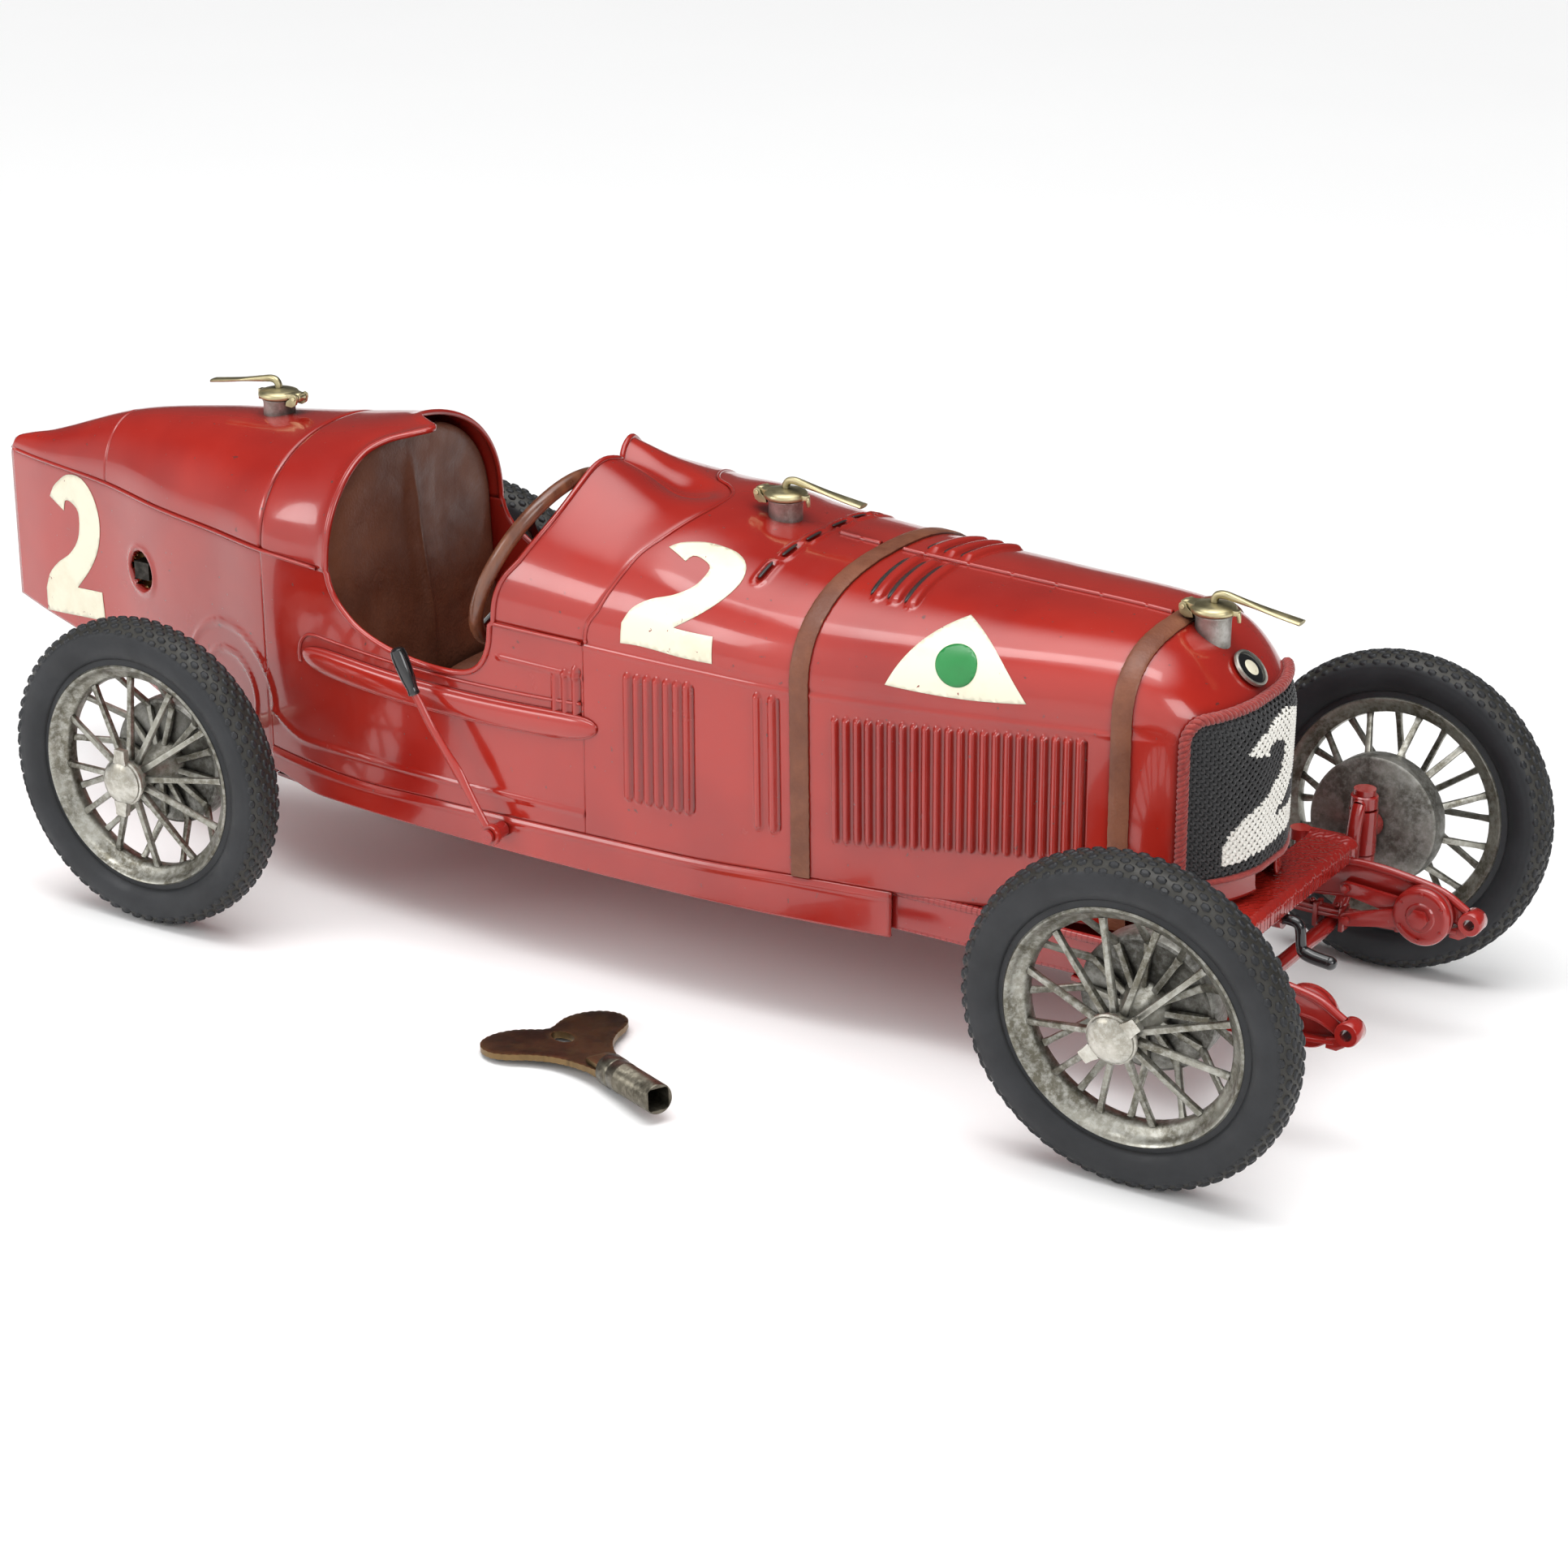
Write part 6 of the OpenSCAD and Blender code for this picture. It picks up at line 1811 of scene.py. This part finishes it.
def key_outline():
    """Half of the two-winged handle, from the stem round one wing to the notch between the wings."""
    pts = [(28.0, 4.7), (33, 5.6), (40, 7.6), (46, 10.6), (51, 15.0), (55, 20.0), (59.5, 23.0), (65, 23.2),
           (69.8, 20.4),
           (72.3, 15.2), (72.0, 9.5), (69.6, 5.0), (67.4, 2.2), (66.6, 0.0)]
    p = spline([(x, y, 0) for x, y in pts], 90)[:, :2]
    return [tuple(q) for q in p] + [(x, -y) for x, y in p[-2::-1]]


def make_key():
    m = (shift(KEY_END) @ spin(KEY_TURN, "Z") @ spin(KEY_LEAN, "Y"))
    outline = key_outline()
    hole = [(HOLE_X + HOLE_LONG * math.cos(t), HOLE_WIDE * math.sin(t)) for t in full_turn(40)]
    uv, faces = fill_outline(outline, 1.3, hole)
    middles = [uv[list(f)].mean(0) for f in faces]
    faces = [f for f, (x, y) in zip(faces, middles)
             if math.hypot((x - HOLE_X) / HOLE_LONG, y / HOLE_WIDE) > 0.999]
    verts = []
    for sgn in (1, -1):
        for x, y in uv:
            edge = min(math.hypot(x - a, y - b) for a, b in outline[::3])
            thick = 1.05 - 0.28 * math.exp(-((edge / 0.9) ** 2))
            r = math.hypot((x - HOLE_X) / 1.5, y)
            thick += 0.15 * math.exp(-(((r - 4.3) / 0.7) ** 2))
            verts.append((x, y, sgn * min(thick, 1.1)))
    n = len(uv)
    fs = [tuple(f) for f in faces] + [tuple(i + n for i in f[::-1]) for f in faces]
    k = len(outline)
    fs += [(i, i + n, (i + 1) % k + n, (i + 1) % k) for i in range(k)]
    fs += [(k + i, k + (i + 1) % 40, k + (i + 1) % 40 + n, k + i + n) for i in range(40)]
    b = Builder()
    b.add(verts, fs, m, 0)
    turn = m @ spin(PI / 2, "Y")
    # Square-holed stem, a stepped collar and a socket that grips the handle
    sq, rows = 3.2, []
    steps = 48
    for x, kind in ((14, "in"), (0.25, "in"), (0, "lip"), (0, "rim"), (0.5, "out"), (23.2, "out")):
        ring = []
        for t in range(steps):
            a = TAU * t / steps
            c, s = math.cos(a), math.sin(a)
            q = sq / max(abs(c), abs(s))
            q = min(q, sq * 1.28)
            r = {"in": q, "lip": q + 0.15, "rim": 4.35, "out": 4.6}[kind]
            ring.append((x, r * c, r * s))
        rows.append(ring)
    v = np.array(rows).reshape(-1, 3)
    f = [tuple(q) for q in grid_faces(len(rows), steps, wrap_v=True)]
    f.append(tuple(range(steps)))
    b.add(v, f, m, 1)
    b.lathe([(4.5, 19.0), (4.7, 19.2), (4.75, 22.8), (4.6, 23.2), (4.85, 23.6), (4.88, 28.4), (4.4, 29.2),
             (3.0, 29.6),
             (0.001, 29.7)], turn, 1, 48)
    b.box((9.5, 8.2, 5.0), m @ shift((31.5, 0, 0)), 0, 1.6)
    ob = b.make("winding_key_cast", [BRONZE, STEEL], sharp=38)
    face_outwards(ob)
    place(ob, "key", "winding_key", slot="brass")


make_tail()
make_cockpit_shell()
make_cowl()
make_scuttle()
make_bonnet()
make_nose()
make_side_mouldings()
make_skirts()
make_strap("strap_rear", 81.3, "rear_strap")
make_strap("strap_front", 177.2, "front_strap")
make_numerals()
make_screen()
make_badge()
make_wheels()
make_fillers()
make_seats()
make_steering()
make_lever()
make_apron()
make_crank()
make_front_frame()
make_front_detail()
make_key()


# ---- floor, light and camera ----------------------------------------------------------------------
def make_stage():
    s = Shader("floor_pale", Roughness=0.6, Specular_IOR_Level=0.2)
    s.set("Base Color", s.blend(s.noise(3, 2), (0.90, 0.90, 0.90), (0.93, 0.93, 0.93)))
    me = bpy.data.meshes.new("floor")
    r = 30.0
    me.from_pydata([(-r, -r, -0.0003), (r, -r, -0.0003), (r, r, -0.0003), (-r, r, -0.0003)], [], [(0, 1, 2, 3)])
    me.materials.append(s.mat)
    floor = bpy.data.objects.new("floor", me)
    bpy.context.scene.collection.objects.link(floor)
    world = bpy.data.worlds.new("studio")
    bpy.context.scene.world = world
    world.use_nodes = True
    bg = world.node_tree.nodes["Background"]
    bg.inputs["Strength"].default_value = 1.0
    # Bright overhead and on the viewer's side of the room, dark beyond the car
    tree = world.node_tree
    coord = tree.nodes.new("ShaderNodeTexCoord")
    split = tree.nodes.new("ShaderNodeSeparateXYZ")
    tree.links.new(coord.outputs["Generated"], split.inputs[0])
    both = tree.nodes.new("ShaderNodeMath")
    both.operation = "MAXIMUM"
    for slot, axis, ends in ((0, "Z", (0.74, 0.97, 0.07, 2.9)), (1, "Y", (-0.9, 0.1, 1.1, 0.08))):
        span = tree.nodes.new("ShaderNodeMapRange")
        span.interpolation_type = "SMOOTHSTEP"
        for key, value in zip(("From Min", "From Max", "To Min", "To Max"), ends):
            span.inputs[key].default_value = value
        tree.links.new(split.outputs[axis], span.inputs["Value"])
        tree.links.new(span.outputs["Result"], both.inputs[slot])
    tree.links.new(both.outputs[0], bg.inputs["Color"])

    def lamp(name, at, to, size, size_y, power):
        data = bpy.data.lights.new(name, "AREA")
        data.shape = "RECTANGLE"
        data.size, data.size_y = size, size_y
        data.energy = power
        ob = bpy.data.objects.new(name, data)
        ob.location = at
        ob.rotation_euler = (Vector(to) - Vector(at)).to_track_quat("-Z", "Y").to_euler()
        bpy.context.scene.collection.objects.link(ob)

    lamp("soft_top", (0.1, -0.25, 1.3), (0, 0, 0.1), 1.3, 0.35, 5)
    lamp("soft_front", (1.3, -0.5, 0.75), (0, 0, 0.08), 0.6, 0.6, 5)
    lamp("soft_left", (-0.9, -1.1, 0.7), (-0.05, 0, 0.08), 0.7, 0.5, 5)


def make_camera():
    yaw, pitch, roll = (math.radians(v) for v in (121.386, -21.343, 0.441))
    forward = Vector((math.cos(pitch) * math.cos(yaw), math.cos(pitch) * math.sin(yaw), math.sin(pitch)))
    right = forward.cross(Vector((0, 0, 1))).normalized()
    up = right.cross(forward)
    right, up = (math.cos(roll) * right + math.sin(roll) * up, math.cos(roll) * up - math.sin(roll) * right)
    data = bpy.data.cameras.new("photo_view")
    data.sensor_width = 36
    data.lens = 84.712
    cam = bpy.data.objects.new("photo_view", data)
    rot = Matrix((right, up, -forward)).transposed().to_4x4()
    cam.matrix_world = shift((0.600258, -0.906366, 0.468134)) @ rot
    bpy.context.scene.collection.objects.link(cam)
    bpy.context.scene.camera = cam


make_stage()
make_camera()
bpy.context.scene.view_settings.view_transform = "Standard"
